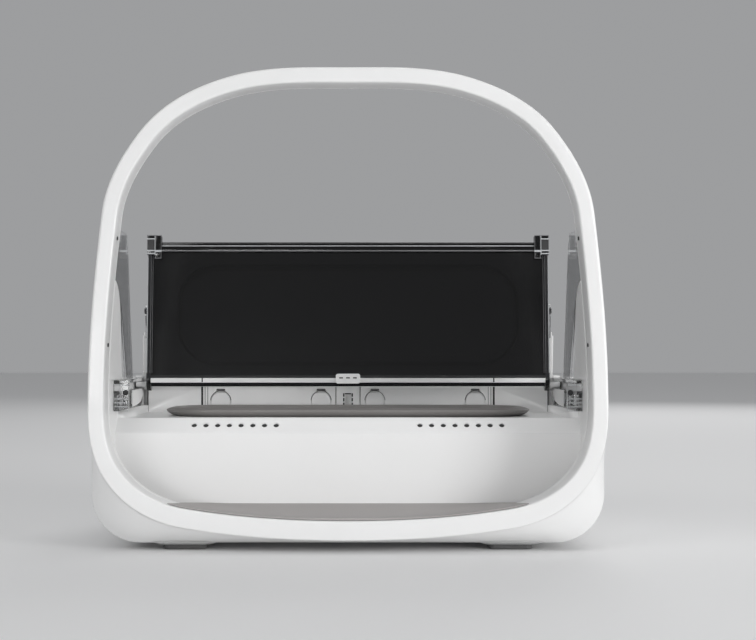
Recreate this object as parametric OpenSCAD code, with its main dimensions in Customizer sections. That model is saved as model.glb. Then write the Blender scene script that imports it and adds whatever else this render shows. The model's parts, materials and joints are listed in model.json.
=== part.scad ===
// Pet feeder with a reader hoop and a lid that tips up behind the bowl.
// X runs to the right, Y to the back and Z up, with the origin on the floor under the middle of the feeder.

/* [Hoop] */
// Overall width of the feeder, across the hoop at its widest
hoop_w = 316; // [300:1:335]
// Height of the top of the hoop above the floor
hoop_top = 295; // [285:1:310]
// Height of the lowest point of the hoop above the floor
hoop_bottom = 8; // [7:0.5:10]
// Height at which the hoop is widest
belly_z = 88; // [84:1:94]
// Half width of the nearly flat crown of the outline
crown_x = 73.5; // [66:0.5:80]
// How far the ends of the crown lie below the top
crown_drop = 6; // [4:0.5:9]
// How far the shoulder of the outline lies in from the widest point
shoulder_in = 32; // [28:0.5:36]
// How far the shoulder of the outline lies below the top
shoulder_drop = 38.5; // [34:0.5:44]
// Depth of the hoop from front to back
hoop_depth = 22; // [20:1:26]
// Thickness of the hoop at the sides and the top
hoop_t = 9.6; // [9:0.2:11]
// Extra thickness of the hoop along the bottom
hoop_foot_t = 2.2; // [1.5:0.1:3]
// Wall thickness of the hoop mouldings
hoop_wall = 2; // [1.6:0.1:2.4]

/* [Base] */
// Overall depth of the feeder
depth = 200; // [195:1:230]
// Height of the lower edge of the base above the floor
base_z = 5; // [4:0.5:7]
// Radius of the lower side corners of the base, seen from the front
corner_r = 30; // [24:1:34]
// Radius of the rear corners of the base, seen from above
rear_r = 42; // [34:1:50]
// Height of the side walls above the floor
side_top = 105; // [104:1:110]
// Wall thickness of the base
wall = 2.5; // [2:0.1:3]
// Height of the deck that carries the bowl
deck_z = 80; // [76:1:81]
// Distance from the front of the hoop to the foot of the front wall
mouth_depth = 46; // [42:1:52]
// Height of the foot of the front wall
mouth_z = 26; // [24:1:30]
// Run and rise of the bevel above the front wall
bevel = 10; // [8:1:12]
// Length of the bowl deck from front to back
deck_len = 93; // [92:1:98]
// Height of the rear wall behind the bowl
rear_wall_top = 98; // [96:1:99]

/* [Bowl] */
// Width of the bowl across its rim
bowl_w = 242; // [220:1:250]
// Depth of the bowl rim from front to back
bowl_d = 73; // [66:1:74]
// Height of the bowl rim above the deck
rim_h = 4.4; // [3:0.1:5]
// Width of the flat rim
rim_w = 4; // [3.5:0.1:6]
// Inner depth of the bowl below its rim
bowl_deep = 27; // [20:1:30]

/* [Lid] */
// Length of each lift arm between its two pivots
arm_r = 52; // [50:1:53]
// Angle by which the open arm tips forward and the open lid leans back
lean = 5; // [4.5:0.5:6]
// Thickness of the lid panel
panel_t = 2.4; // [2:0.1:3]
// Distance of the panel in front of the line through the lid pivots
panel_off = 3; // [2.6:0.1:3.6]
// Depth of the lid side flanges behind the pivot line
flange_d = 12; // [8:1:14]
// Half width of the lid over its flanges
lid_half = 141; // [138:0.5:141]
// Radius of the guide pins and of the lid pivot pins
pin_r = 2; // [1.8:0.1:2.2]
// Running clearance of pins and shafts in their holes
run = 0.06; // [0.04:0.01:0.1]
// Clearance of the guide pins in their slots
slot_gap = 0.3; // [0.2:0.05:0.5]

/* [Drive] */
// Radius of the cross shaft
shaft_r = 1.5; // [1.3:0.1:1.7]
// Thickness of each guide rail
rail_t = 4.8; // [4.2:0.1:5]
// Height of the guide rail above and below its slot
rail_h = 4.6; // [3.6:0.1:5]
// Tooth module of the two gears
tooth_m = 0.5; // [0.48:0.01:0.52]
// Number of teeth on the gear of the cross shaft
shaft_teeth = 14; // [13:1:15]
// Number of teeth on the gear of the motor
motor_teeth = 36; // [34:1:38]
// Face width of the gears
gear_w = 4; // [3:0.5:4]

/* [Battery] */
// Diameter of a battery cell
cell_d = 26.2; // [25:0.1:26.6]
// Length of a battery cell
cell_l = 50; // [49:0.5:50]

/* [Buttons and feet] */
// Radius of a push button
button_r = 6; // [5:0.5:7]
// Travel of a push button
button_travel = 1.2; // [1:0.1:1.5]
// How far a push button stands out of the rear face
button_stand = 1.6; // [1.4:0.1:2]
// Spacing of the push buttons
button_pitch = 32; // [26:1:38]
// Length of a foot pad from side to side
foot_l = 27; // [22:1:32]
// Width of a foot pad
foot_w = 15; // [12:1:18]
// Number of sound holes in each row on the bevel
holes = 8; // [6:1:9]
// Spacing of the sound holes
hole_pitch = 7.5; // [6.5:0.1:8]
// Radius of a sound hole
hole_r = 1.75; // [1.4:0.05:2]

/* [Hidden] */
$fn = 64;
white = [0.93, 0.93, 0.93];
clear = [0.8, 0.85, 0.88, 0.4];
smoke = [0.15, 0.16, 0.18, 0.7];
warm_grey = [0.48, 0.46, 0.45];
dark = [0.12, 0.12, 0.13];
gap = 0.3;
eps = 0.01;
half_w = hoop_w / 2;
front_y = -depth / 2;
hoop_back = front_y + hoop_depth;
rear_y = depth / 2 - button_stand;
mouth_y = front_y + mouth_depth;
wall_top_z = deck_z - bevel + 1;
deck_y = mouth_y + bevel;
rear_wall_y = deck_y + deck_len;
rear_wall_t = 3;
shaft_y = rear_wall_y + rear_wall_t / 2;
shaft_z = rear_wall_top + shaft_r + gap;
guide_y = shaft_y - 2 * arm_r * sin(lean);
closed_y = shaft_y - 2 * arm_r;
link_in = lid_half + 0.5;
link_t = 1.2;
cover_in = link_in + link_t + 0.1;
cover_t = 1.6;
rail_in = cover_in + cover_t + 0.5;
rail_out = rail_in + rail_t;
pocket_half = rail_out + 0.6;
ledge_z = deck_z + 5;
gear_in = pocket_half + 0.7;
gear_angle = -38;
gear_reach = tooth_m * (shaft_teeth + motor_teeth) / 2;
motor_y = shaft_y + gear_reach * cos(gear_angle);
motor_z = shaft_z + gear_reach * sin(gear_angle);
hub_r = 3.4;
trench_back = shaft_y + hub_r + 0.4;
bay_y = trench_back + wall;
bowl_y = deck_y + 3 + bowl_d / 2;
bowl_corner = bowl_d / 2 - rim_w - 5;
cover_t_z = 2.5;
door_w = 2 * cell_l + 5;
door_d = cell_d + 10;
door_x = 18;
door_y = 2;
door_gap = 0.4;
door_pin_r = 0.8;
door_hinge_y = door_y + door_d / 2 - 2;
door_hinge_z = base_z + 1.25;
cell_z = base_z + cover_t_z + 0.8 + cell_d / 2;
button_z = 62;
light_z = button_z + 14;
board_y = rear_y - wall - 6.4 - button_travel;
board_w = 124;
board_h = 44;
board_t = 1.6;
board_boss_x = board_w / 2 - 8;
foot_x = 101;
foot_y_front = front_y + 28;
foot_y_rear = rear_y - rear_r - 4;
bulge_z = 3.2;

// Points of a cubic curve through a and d with handles b and c, without the last one
function curve(a, b, c, d, n) = [for (i = [0:n - 1]) let (t = i / n, s = 1 - t)
    s * s * s * a + 3 * s * s * t * b + 3 * s * t * t * c + t * t * t * d];
function turn(angle) = [cos(angle), sin(angle)];

// Points of a near-round curve from node p to node q, where a node is [x, z, heading]
function bend(p, q, n) = let (a = [p[0], p[1]], d = [q[0], q[1]], swing = max(1, p[2] - q[2]),
    handle = norm(d - a) * tan(swing / 4) / sin(swing / 2) * 2 / 3)
    curve(a, a + handle * turn(p[2]), d - handle * turn(q[2]), d, n);

// Right half of the hoop outline from the top to the bottom
hoop_nodes = [[0, hoop_top, 0], [crown_x, hoop_top - crown_drop, -16.5],
    [half_w - shoulder_in, hoop_top - shoulder_drop, -52], [half_w - 8.5, hoop_top - 88.5, -83],
    [half_w, belly_z, -90], [half_w - 13, hoop_bottom + 33.5, -127],
    [half_w - 58, hoop_bottom + 7.5, -170.5], [0, hoop_bottom, -180]];
hoop_steps = [7, 10, 10, 8, 10, 8, 7];
belly_i = hoop_steps[0] + hoop_steps[1] + hoop_steps[2] + hoop_steps[3];
half_outline = [for (i = [0:len(hoop_nodes) - 2]) each bend(hoop_nodes[i], hoop_nodes[i + 1], hoop_steps[i])];
bottom_pt = [0, hoop_bottom];
outline = concat(half_outline, [bottom_pt],
    [for (i = [len(half_outline) - 1:-1:1]) [-half_outline[i][0], half_outline[i][1]]]);
count = len(outline);

// Inward normal of the outline at point i, and the hoop's thickness there
function inward(i) = let (d = outline[(i + 1) % count] - outline[(i + count - 1) % count])
    [d[1], -d[0]] / norm(d);
function thick(i) = hoop_t + hoop_foot_t * pow(max(0, inward(i)[1]), 2);
function inset_pt(i, share, off) = outline[i] + inward(i) * (share * thick(i) + off);
function inset_outline(share, off) = [for (i = [0:count - 1]) inset_pt(i, share, off)];

// Distance from the middle to the inner face of the hoop at height z
inner_right = [for (i = [belly_i:-1:0]) inset_pt(i, 1, 0)];
function inner_x(z) = lookup(z, [for (p = inner_right) [p[1], p[0]]]);

module along_y(y0, y1) {
    translate([0, y1, 0]) rotate([90, 0, 0]) linear_extrude(y1 - y0) children();
}

module along_x(x0, x1) {
    translate([x0, 0, 0]) rotate([90, 0, 90]) linear_extrude(x1 - x0) children();
}

module along_z(z0, z1) {
    translate([0, 0, z0]) linear_extrude(z1 - z0) children();
}

module mirrored() {
    children();
    mirror([1, 0, 0]) children();
}

// Points of an arc about c from angle a0 to a1
function arc(c, r, a0, a1, n = 10) = [for (i = [0:n]) c + r * turn(a0 + (a1 - a0) * i / n)];

module round_rect(w, d, r) {
    polygon(concat(
        arc([w / 2 - r, d / 2 - r], r, 0, 90),
        arc([r - w / 2, d / 2 - r], r, 90, 180),
        arc([r - w / 2, r - d / 2], r, 180, 270),
        arc([w / 2 - r, r - d / 2], r, 270, 360)));
}

// A closed section carried round the hoop: each section point is [share of thickness, offset, y]
module hoop_sweep(section) {
    m = len(section);
    points = [for (i = [0:count - 1], p = section)
        let (q = inset_pt(i, p[0], p[1])) [q[0], p[2], q[1]]];
    faces = [for (i = [0:count - 1], j = [0:m - 1])
        let (k = (i + 1) % count, l = (j + 1) % m, a = i * m + j, b = k * m + j, c = k * m + l, d = i * m + l)
        each [[a, b, c], [a, c, d]]];
    polyhedron(points, faces, convexity = 6);
}

// Front moulding: a channel open to the back, with rounded outer edges
module hoop_front() {
    r = 2.6;
    y1 = hoop_back - 3;
    color(white) difference() {
        hoop_sweep(concat(
            [for (a = [0:22.5:90]) [0, r - r * sin(a), front_y + r - r * cos(a)]],
            [[0, 0, y1], [0, hoop_wall, y1], [0, hoop_wall, front_y + hoop_wall],
                [1, -hoop_wall, front_y + hoop_wall], [1, -hoop_wall, y1], [1, 0, y1]],
            [for (a = [90:-22.5:0]) [1, r * sin(a) - r, front_y + r - r * cos(a)]]));
        sensor_places() cylinder(h = 8, r = 1.3, center = true);
    }
}

// Rear moulding: closes the channel and holds the coil with a low rib
module hoop_rear() {
    y0 = hoop_back - 3;
    r = 1.2;
    lip = hoop_wall + 0.2;
    color(white) difference() {
        hoop_sweep(concat(
            [[0, 0, y0], [0, 0, hoop_back - r], [0, r, hoop_back]],
            [[1, -r, hoop_back], [1, 0, hoop_back - r], [1, 0, y0]],
            [[1, -lip, y0], [1, -lip, y0 - 3], [1, -lip - 1.2, y0 - 3], [1, -lip - 1.2, y0]],
            [[0, lip + 1.2, y0], [0, lip + 1.2, y0 - 3], [0, lip, y0 - 3], [0, lip, y0]]));
        for (s = [-1, 1]) translate([s * hoop_screw_x, hoop_back + 1, hoop_screw_z]) rotate([90, 0, 0])
            cylinder(h = 5, r = screw_r + 0.02);
    }
}

coil_w = 9;
module antenna_coil() {
    y0 = front_y + hoop_wall + gap;
    color([0.72, 0.4, 0.2]) along_y(y0, y0 + coil_w) difference() {
        polygon(inset_outline(0, hoop_wall + gap));
        polygon(inset_outline(0, hoop_wall + gap + 2.4));
    }
}

module sensor_places() {
    for (z = [126.6, 192], s = [-1, 1])
        translate([s * (inner_x(z) + 0.6), front_y + hoop_depth * 0.5, z]) rotate([0, 90, 0]) children();
}

module hoop_sensors() {
    color(dark) sensor_places() cylinder(h = 2.4, r = 1.2, center = true);
}

// Front view of the base: hoop outline above the belly, rounded lower corners below it
base_front = hoop_back - 6;
shell_back = rear_y;
flank = [for (p = half_outline) if (p[1] > belly_z - eps && p[1] < side_top + 30) p];
function side_points(inset) = concat(
    [for (p = flank) [p[0] - inset, p[1]]],
    arc([half_w - corner_r, base_z + corner_r], corner_r - inset, 0, -90));

module front_profile(inset) {
    right = side_points(inset);
    polygon(concat(right, [for (i = [len(right) - 1:-1:0]) [-right[i][0], right[i][1]]]));
}

// Side view: level side walls that fall in one curve to the rear face
crest_y = bay_y + 10;
module side_profile(inset, y0) {
    polygon(concat(
        [[y0, base_z - 1]],
        [[y0, side_top - inset]],
        curve([crest_y, side_top - inset], [crest_y + 22, side_top - inset], [rear_y - inset, side_top - 8],
            [rear_y - inset, light_z + 4], 14),
        arc([rear_y - 8, base_z + 8], 8 - inset, 0, -90, 5),
        [[rear_y - 8, base_z - 1]]));
}

module plan_profile(inset) {
    w = half_w - inset;
    r = rear_r - inset;
    y1 = rear_y - inset;
    polygon(concat([[-w, base_front - 20], [w, base_front - 20]],
        arc([w - r, y1 - r], r, 0, 90), arc([r - w, y1 - r], r, 90, 180)));
}

module base_form(inset, y0) {
    intersection() {
        along_y(y0, rear_y + 1) front_profile(inset);
        along_x(-half_w - 1, half_w + 1) side_profile(inset, y0);
        along_z(0, side_top + 1) plan_profile(inset);
    }
}

// Floor of the mouth, under the mat: it rises from the inner face of the hoop to the foot of the front wall
mat_t = 2.4;
sill_z = hoop_bottom + hoop_t + hoop_foot_t;
sill_back = hoop_back + gap + wall;

// Everything that is open above the base: the mouth, the bowl deck, the rail trenches and the rear deck
module open_space(g) {
    high = side_top + 60;
    y0 = base_front - 20;
    y1 = deck_y + 1 + g;
    intersection() {
        union() {
            along_y(y0, sill_back + 1) polygon(inset_outline(1, -g));
            along_y(sill_back - g, y1) front_profile(hoop_t - g);
        }
        along_x(-half_w, half_w) polygon([[y0, high], [y0, sill_z - g - eps],
            [sill_back - g, sill_z - g - eps], [mouth_y + g, mouth_z - mat_t - g],
            [mouth_y + g, wall_top_z - g * 0.6],
            [deck_y + g * 0.4, deck_z - g], [y1, deck_z - g], [y1, high]]);
    }
    translate([-lid_half - gap - g, deck_y, deck_z - g])
        cube([2 * (lid_half + gap + g), rear_wall_y - deck_y + g, high]);
    translate([-pocket_half - g, closed_y - 6 - g, ledge_z - g])
        cube([2 * (pocket_half + g), trench_back - closed_y + 6 + 2 * g, high]);
    translate([-pocket_half - g, rear_wall_y - eps, rear_wall_top - g])
        cube([2 * (pocket_half + g), depth, high]);
}

// Solid below the trenches and between them, where the rear wall stands
module rear_wall_block() {
    translate([-lid_half - gap, rear_wall_y, deck_z - wall])
        cube([2 * (lid_half + gap), bay_y - rear_wall_y, rear_wall_top - deck_z + wall]);
}

insert_half = 103;
module insert_space(g) {
    translate([-insert_half - g, rear_wall_y - 1, deck_z])
        cube([2 * (insert_half + g), rear_wall_t + 1 + g, 60]);
}

well_hole = 3;
module well_outline(extra) {
    translate([0, bowl_y]) round_rect(well_w + extra, well_d + extra, bowl_corner);
}

front_boss_x = 60;
front_boss = [[-front_boss_x, mouth_y + 5], [front_boss_x, mouth_y + 5]];
front_boss_h = 20;
boss_r = 4.2;
rear_boss_x = board_w / 2 + boss_r + 2;
rear_boss = [[-rear_boss_x, bay_y + 12], [rear_boss_x, bay_y + 12]];
screw_r = 1.5;
cover_gap = 0.3;
opening_half = half_w - corner_r;
opening_y0 = foot_y_front + foot_w / 2 + 5;
opening_y1 = rear_y - 12;
opening_mid = (opening_y0 + opening_y1) / 2;
hoop_screw_x = 70;
hoop_screw_z = hoop_bottom + 6;

// Distance along a line of points up to each of them
function run_of(p) = [for (i = 0, d = 0; i < len(p);
    d = d + (i < len(p) - 1 ? norm(p[i + 1] - p[i]) : 0), i = i + 1) d];

// Point at a share of the length of a line of points
function at_share(p, d, share) = let (reach = share * d[len(d) - 1])
    [for (k = [0, 1]) lookup(reach, [for (i = [0:len(p) - 1]) [d[i], p[i][k]]])];

// Collar that carries the base forward round the hoop's lower half: hoop and base outlines, matched by length
collar_steps = 5;
hoop_low = concat([for (i = [belly_i:len(half_outline) - 1]) half_outline[i]], [bottom_pt]);
collar_in = 0.06;
base_low = concat([[half_w - collar_in, belly_z]],
    arc([half_w - corner_r, base_z + corner_r], corner_r - collar_in, 0, -90, 12), [[0, base_z + collar_in]]);
hoop_run = run_of(hoop_low);
base_run = run_of(base_low);
function collar_pt(i, t) = let (share = hoop_run[i] / hoop_run[len(hoop_run) - 1], s = t + 0.1 * sin(180 * t))
    (1 - s) * hoop_low[i] + s * at_share(base_low, base_run, share);
function collar_row(t) = let (n = len(hoop_low), right = [for (i = [0:n - 1]) collar_pt(i, t)])
    concat(right, [for (i = [n - 2:-1:0]) [-right[i][0], right[i][1]]]);
module collar_form() {
    y0 = front_y + 3;
    y1 = base_front + 0.4;
    m = 2 * len(hoop_low) - 1;
    last = collar_steps * m;
    hub = last + m;
    rows = [for (k = [0:collar_steps]) let (t = k / collar_steps)
        for (p = collar_row(t)) [p[0], y0 + (y1 - y0) * t, p[1]]];
    points = concat(rows, [[0, y0, belly_z / 2], [0, y1, belly_z / 2]]);
    sides = [for (k = [0:collar_steps - 1], i = [0:m - 1])
        let (j = (i + 1) % m, a = k * m + i, b = k * m + j, c = (k + 1) * m + j, d = (k + 1) * m + i)
        each [[a, c, b], [a, d, c]]];
    ends = [for (i = [0:m - 1]) let (j = (i + 1) % m)
        each [[hub, i, j], [hub + 1, last + j, last + i]]];
    polyhedron(points, concat(sides, ends), convexity = 4);
}

module collar() {
    difference() {
        intersection() {
            collar_form();
            translate([-half_w - 1, front_y, 0]) cube([hoop_w + 2, hoop_depth, belly_z - 16]);
        }
        along_y(front_y - 1, hoop_back + 1) polygon(inset_outline(0, -gap));
    }
}

module foot_bulge(y) {
    for (s = [-1, 1]) translate([s * foot_x, y, bulge_z]) hull() {
        linear_extrude(0.1) round_rect(foot_l + 8, foot_w + 2, 6);
        translate([0, 0, base_z - bulge_z]) linear_extrude(0.1) round_rect(foot_l + 16, foot_w + 8, 8);
    }
}

hole_x = 46;
module sound_row() {
    rise = deck_z - wall_top_z;
    for (s = [-1, 1], i = [0:holes - 1])
        translate([s * (hole_x + i * hole_pitch), mouth_y + bevel / 2, wall_top_z + rise / 2])
            rotate([atan2(rise, bevel), 0, 0]) cylinder(h = 12, r = hole_r, center = true);
}

module gear_room() {
    room = gear_w + (gear_in - pocket_half) + 0.3;
    for (g = [[shaft_y, shaft_z, shaft_teeth], [motor_y, motor_z, motor_teeth]])
        translate([pocket_half - 0.2, g[0], g[1]]) rotate([0, 90, 0])
            cylinder(h = room + 0.2, r = tooth_m * (g[2] / 2 + 1) + 0.6);
}

module base_shell() {
    color(white) difference() {
        union() {
            difference() {
                base_form(0, base_front);
                open_space(0);
                difference() {
                    base_form(wall, hoop_back + gap + wall);
                    open_space(wall);
                }
                along_y(base_front - 1, hoop_back + gap) polygon(inset_outline(0, -gap));
                translate([0, 0, base_z - 2]) linear_extrude(wall + 2.1) translate([0, opening_mid])
                    round_rect(2 * opening_half, opening_y1 - opening_y0, 8);
            }
            collar();
            rear_wall_block();
            foot_bulge(foot_y_front);
            for (p = front_boss) translate([p[0], p[1], base_z + cover_t_z + 0.1])
                cylinder(h = front_boss_h, r = boss_r);
            for (p = rear_boss) translate([p[0], p[1], base_z + cover_t_z + 0.1])
                cylinder(h = rear_wall_top - wall / 2 - base_z - cover_t_z, r = boss_r);
            for (s = [-1, 1], z = [-12, 12]) translate([s * board_boss_x, board_y + gap, button_z + z])
                rotate([-90, 0, 0]) cylinder(h = rear_y - wall + 0.4 - board_y - gap, r = 2.5);
        }
        insert_space(gap);
        along_z(deck_z - wall - 8, deck_z + 1) well_outline(well_hole);
        along_x(-lid_half - 2, lid_half + 2) translate([shaft_y, shaft_z]) circle(r = shaft_r + 0.8);
        sound_row();
        gear_room();
        for (i = [-1:1]) translate([i * button_pitch, rear_y - wall - 2, button_z]) rotate([-90, 0, 0])
            cylinder(h = wall + 4, r = button_r + 0.25);
        translate([0, rear_y - wall - 2, light_z]) rotate([-90, 0, 0]) cylinder(h = wall + 4, r = 2.1);
        for (p = concat(front_boss, rear_boss)) translate([p[0], p[1], base_z])
            cylinder(h = 12, r = screw_r + 0.02);
        for (s = [-1, 1]) translate([s * hoop_screw_x, hoop_back - 1, hoop_screw_z]) rotate([-90, 0, 0])
            cylinder(h = wall + 3, r = screw_r + 0.1);
    }
}

module bottom_cover() {
    z1 = base_z + cover_t_z;
    color(white) difference() {
        union() {
            translate([0, opening_mid, base_z]) linear_extrude(cover_t_z)
                round_rect(2 * (opening_half - cover_gap), opening_y1 - opening_y0 - 2 * cover_gap,
                    8 - cover_gap);
            foot_bulge(foot_y_rear);
            for (s = [-1, 1]) translate([s * (door_x + door_w / 2), door_y, z1 - eps])
                linear_extrude(cell_d + 3) difference() {
                    round_rect(door_w + 4, door_d + 4, 4);
                    round_rect(door_w, door_d, 2);
                }
        }
        for (s = [-1, 1]) translate([s * (door_x + door_w / 2), door_y, base_z - 1])
            linear_extrude(cover_t_z + 2) round_rect(door_w, door_d, 2);
        for (p = concat(front_boss, rear_boss)) translate([p[0], p[1], base_z - 1]) {
            cylinder(h = cover_t_z + 2, r = screw_r + 0.1);
            cylinder(h = 2.4, r = 3.1);
        }
        for (s = [-1, 1]) translate([s * (door_x + door_w / 2), door_hinge_y, door_hinge_z])
            rotate([0, 90, 0]) cylinder(h = door_w + 3.4, r = door_pin_r + run, center = true);
    }
}

module base_screws() {
    color("silver") for (p = concat(front_boss, rear_boss)) translate([p[0], p[1], base_z]) {
        cylinder(h = 1.3, r = 2.9);
        cylinder(h = 11, r = screw_r);
    }
}

module hoop_screws() {
    color("silver") for (s = [-1, 1]) translate([s * hoop_screw_x, hoop_back + gap + wall, hoop_screw_z]) {
        rotate([90, 0, 0]) cylinder(h = wall + gap + 2.4, r = screw_r);
        rotate([-90, 0, 0]) cylinder(h = 1.6, r = 2.8);
    }
}

module rubber_feet() {
    color(dark) for (s = [-1, 1], y = [foot_y_front, foot_y_rear]) translate([s * foot_x, y, 0])
        linear_extrude(bulge_z) round_rect(foot_l, foot_w, 4);
}

// Fairing that carries the side wall up the back of the hoop
cheek_rise = 62;
cheek_back = hoop_back + 52;
function cheek_edge(shift) = concat(curve([hoop_back - 1, side_top + cheek_rise] + shift,
    [hoop_back + 14, side_top + cheek_rise - 2] + shift, [cheek_back - 22, side_top + 50] + shift,
    [cheek_back - 12, side_top + 26] + shift, 8), [[cheek_back, side_top] + shift]);
module cheek() {
    intersection() {
        along_y(hoop_back + eps, cheek_back + 1) difference() {
            polygon(inset_outline(0, 0.5));
            polygon(inset_outline(1, 0));
        }
        along_x(100, half_w) polygon(concat([[hoop_back - 1, side_top]], cheek_edge([0, 0])));
    }
}
module right_cheek() { color(white) cheek(); }
module left_cheek() { color(white) mirror([1, 0, 0]) cheek(); }

// Clear side screen on top of each rail: it fills the corner between the cheek, the hoop and the rail
rail_top = shaft_z + rail_h;
shield_t = 1.6;
shield_x = rail_in + 0.5;
shield_foot = 5;
shield_lean = 24;
shield_high = 96;
module shield() {
    top = rail_top + shield_high;
    r = 8;
    along_x(shield_x, shield_x + shield_t) polygon(concat(
        [[cheek_back + 1.4, rail_top + gap], [shield_foot, rail_top + gap]],
        arc([shield_foot - shield_lean - r, top - r], r, 14, 90, 6),
        [[hoop_back + 0.4, top]], cheek_edge([1.4, 1])));
}
module right_shield() { color(clear) shield(); }
module left_shield() { color(clear) mirror([1, 0, 0]) shield(); }

// Guide rail with the slot in which the lid pins run, and a stop block across its front end
stop_d = 4;
rail_front = closed_y - pin_r - 3;
rail_back = shaft_y - hub_r - 0.6;
module rail() {
    stop_in = lid_half - 2.4;
    difference() {
        union() {
            along_x(rail_in, rail_out) polygon(concat(
                arc([rail_front + 3, ledge_z + 3], 3, 180, 270, 4),
                [[rail_back, ledge_z], [rail_back, rail_top]],
                arc([rail_front + 3, rail_top - 3], 3, 90, 180, 4)));
            translate([stop_in, rail_front - stop_d, ledge_z])
                cube([half_w - hoop_t - 0.4 - stop_in, stop_d + 0.3, rail_top - ledge_z]);
        }
        along_x(rail_in - 1, rail_out + 1) {
            translate([closed_y - pin_r - 0.5, shaft_z - pin_r - slot_gap])
                square([guide_y - closed_y + 2 * pin_r + 1, 2 * (pin_r + slot_gap)]);
        }
        for (y = [rail_front + 9:22:rail_back - 20])
            along_x(rail_in - 1, rail_in + rail_t / 2) translate([y, ledge_z + 2.6])
                square([18, shaft_z - pin_r - slot_gap - ledge_z - 5]);
    }
}
module right_rail() { color(clear) rail(); }
module left_rail() { color(clear) mirror([1, 0, 0]) rail(); }

// Post that carries the end of the cross shaft behind each rail
module bearing() {
    y0 = rail_back + gap;
    y1 = trench_back - gap;
    difference() {
        along_x(rail_in, rail_out) polygon(concat([[y0, ledge_z], [y1, ledge_z]],
            arc([y1 - 2, shaft_z + 4.2], 2, 0, 90, 4), arc([y0 + 2, shaft_z + 4.2], 2, 90, 180, 4)));
        along_x(rail_in - 1, rail_out + 1) translate([shaft_y, shaft_z]) circle(r = shaft_r + run);
    }
}
module right_bearing() { color(white) bearing(); }
module left_bearing() { color(white) mirror([1, 0, 0]) bearing(); }

// Removable wall behind the bowl, with four half-round snap tongues and a centre catch
tongue_r = 7.2;
tongue_z = deck_z + 8;
tongue_x = [-90, -19, 19, 90];
module rear_wall_insert() {
    color(white) difference() {
        translate([-insert_half, rear_wall_y, deck_z + eps])
            cube([2 * insert_half, rear_wall_t, rear_wall_top - deck_z - eps]);
        for (x = tongue_x) {
            translate([x, 0, tongue_z]) along_y(rear_wall_y - 1, rear_wall_y + 0.8) difference() {
                circle(r = tongue_r);
                circle(r = tongue_r - 0.5);
                translate([-10, -20]) square([20, 17]);
            }
            translate([x - 3.4, rear_wall_y - 1, tongue_z + tongue_r - 1.4])
                cube([6.8, rear_wall_t + 2, 1.6]);
        }
        for (s = [-1, 1]) translate([s * 8.5 - 0.3, rear_wall_y - 1, deck_z + 2])
            cube([0.6, 1.5, rear_wall_top - deck_z]);
        translate([-1.9, rear_wall_y - 1, deck_z + 3]) cube([3.8, rear_wall_t + 2, 10.5]);
    }
}

module sound_screen() {
    rise = deck_z - wall_top_z;
    mid = hole_x + (holes - 1) * hole_pitch / 2;
    color(dark) for (s = [-1, 1]) translate([s * mid, mouth_y + bevel / 2, wall_top_z + rise / 2])
        rotate([atan2(rise, bevel), 0, 0]) translate([0, 0, -wall - 0.8])
            cube([holes * hole_pitch + 2, 7, 1], center = true);
}

// Tub that narrows downwards by the same amount on each side
module tapered(w, d, r, z0, z1, shrink) {
    hull() {
        translate([0, bowl_y, z1 - 0.1]) linear_extrude(0.1) round_rect(w, d, r);
        translate([0, bowl_y, z0]) linear_extrude(0.1)
            round_rect(w - 2 * shrink, d - 2 * shrink, (d / 2 - shrink) * 0.8);
    }
}

// Well that hangs in the deck and carries the bowl
well_t = 1.6;
well_w = bowl_w - 2 * rim_w - 2;
well_d = bowl_d - 2 * rim_w - 2;
well_floor = deck_z + well_t + rim_h - 1.6 - bowl_deep - 1.6 - 3.2;
module bowl_well() {
    color(white) difference() {
        union() {
            translate([0, bowl_y, deck_z + eps]) linear_extrude(well_t)
                round_rect(bowl_w - 3, bowl_d - 3, bowl_corner);
            tapered(well_w + 2, well_d + 2, bowl_corner, well_floor, deck_z + 0.5, 8);
        }
        tapered(well_w + 2 - 2 * well_t, well_d + 2 - 2 * well_t, bowl_corner - well_t, well_floor + well_t,
            deck_z + 3, 8);
    }
}

// Removable bowl with a raised rim
bowl_seat = deck_z + well_t + eps + 0.1;
bowl_top = bowl_seat + rim_h;
bowl_t = 1.6;
module bowl() {
    body_w = well_w - 2 * well_t;
    body_d = well_d - 2 * well_t;
    z0 = bowl_top - bowl_t - bowl_deep;
    bowl_flare = 12;
    inner_w = body_w - 2 * bowl_t + 2 * bowl_flare * rim_h / bowl_deep;
    color(warm_grey) difference() {
        union() {
            tapered(bowl_w, bowl_d, bowl_corner + 2, bowl_seat, bowl_top, 0.8);
            tapered(body_w, body_d, bowl_corner - 3, z0, bowl_seat + 0.2, 8);
        }
        tapered(inner_w, inner_w + body_d - body_w, bowl_corner, z0 + bowl_t, bowl_top + 0.1, bowl_flare);
    }
}

// Mat on the floor of the mouth: wide behind the hoop, and carried forward over the hoop's inner face
mat_front = front_y + 2.4;
mat_lip = 1.1;
module front_mat() {
    z0 = sill_z + gap;
    y1 = mouth_y - gap;
    color(warm_grey) intersection() {
        union() {
            along_y(mat_front, sill_back + 2) polygon(inset_outline(1, 0.5));
            along_y(sill_back + gap, y1) front_profile(hoop_t + 0.5);
        }
        along_x(-half_w, half_w) polygon([[mat_front, z0], [sill_back, z0], [y1, mouth_z - mat_t + gap],
            [y1, mouth_z], [mat_front, z0 + mat_lip]]);
    }
}

module cross_shaft() {
    color(dark) translate([-rail_out + gap, shaft_y, shaft_z]) rotate([0, 90, 0])
        cylinder(h = rail_out - gap + gear_in + gear_w, r = shaft_r);
}

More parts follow.
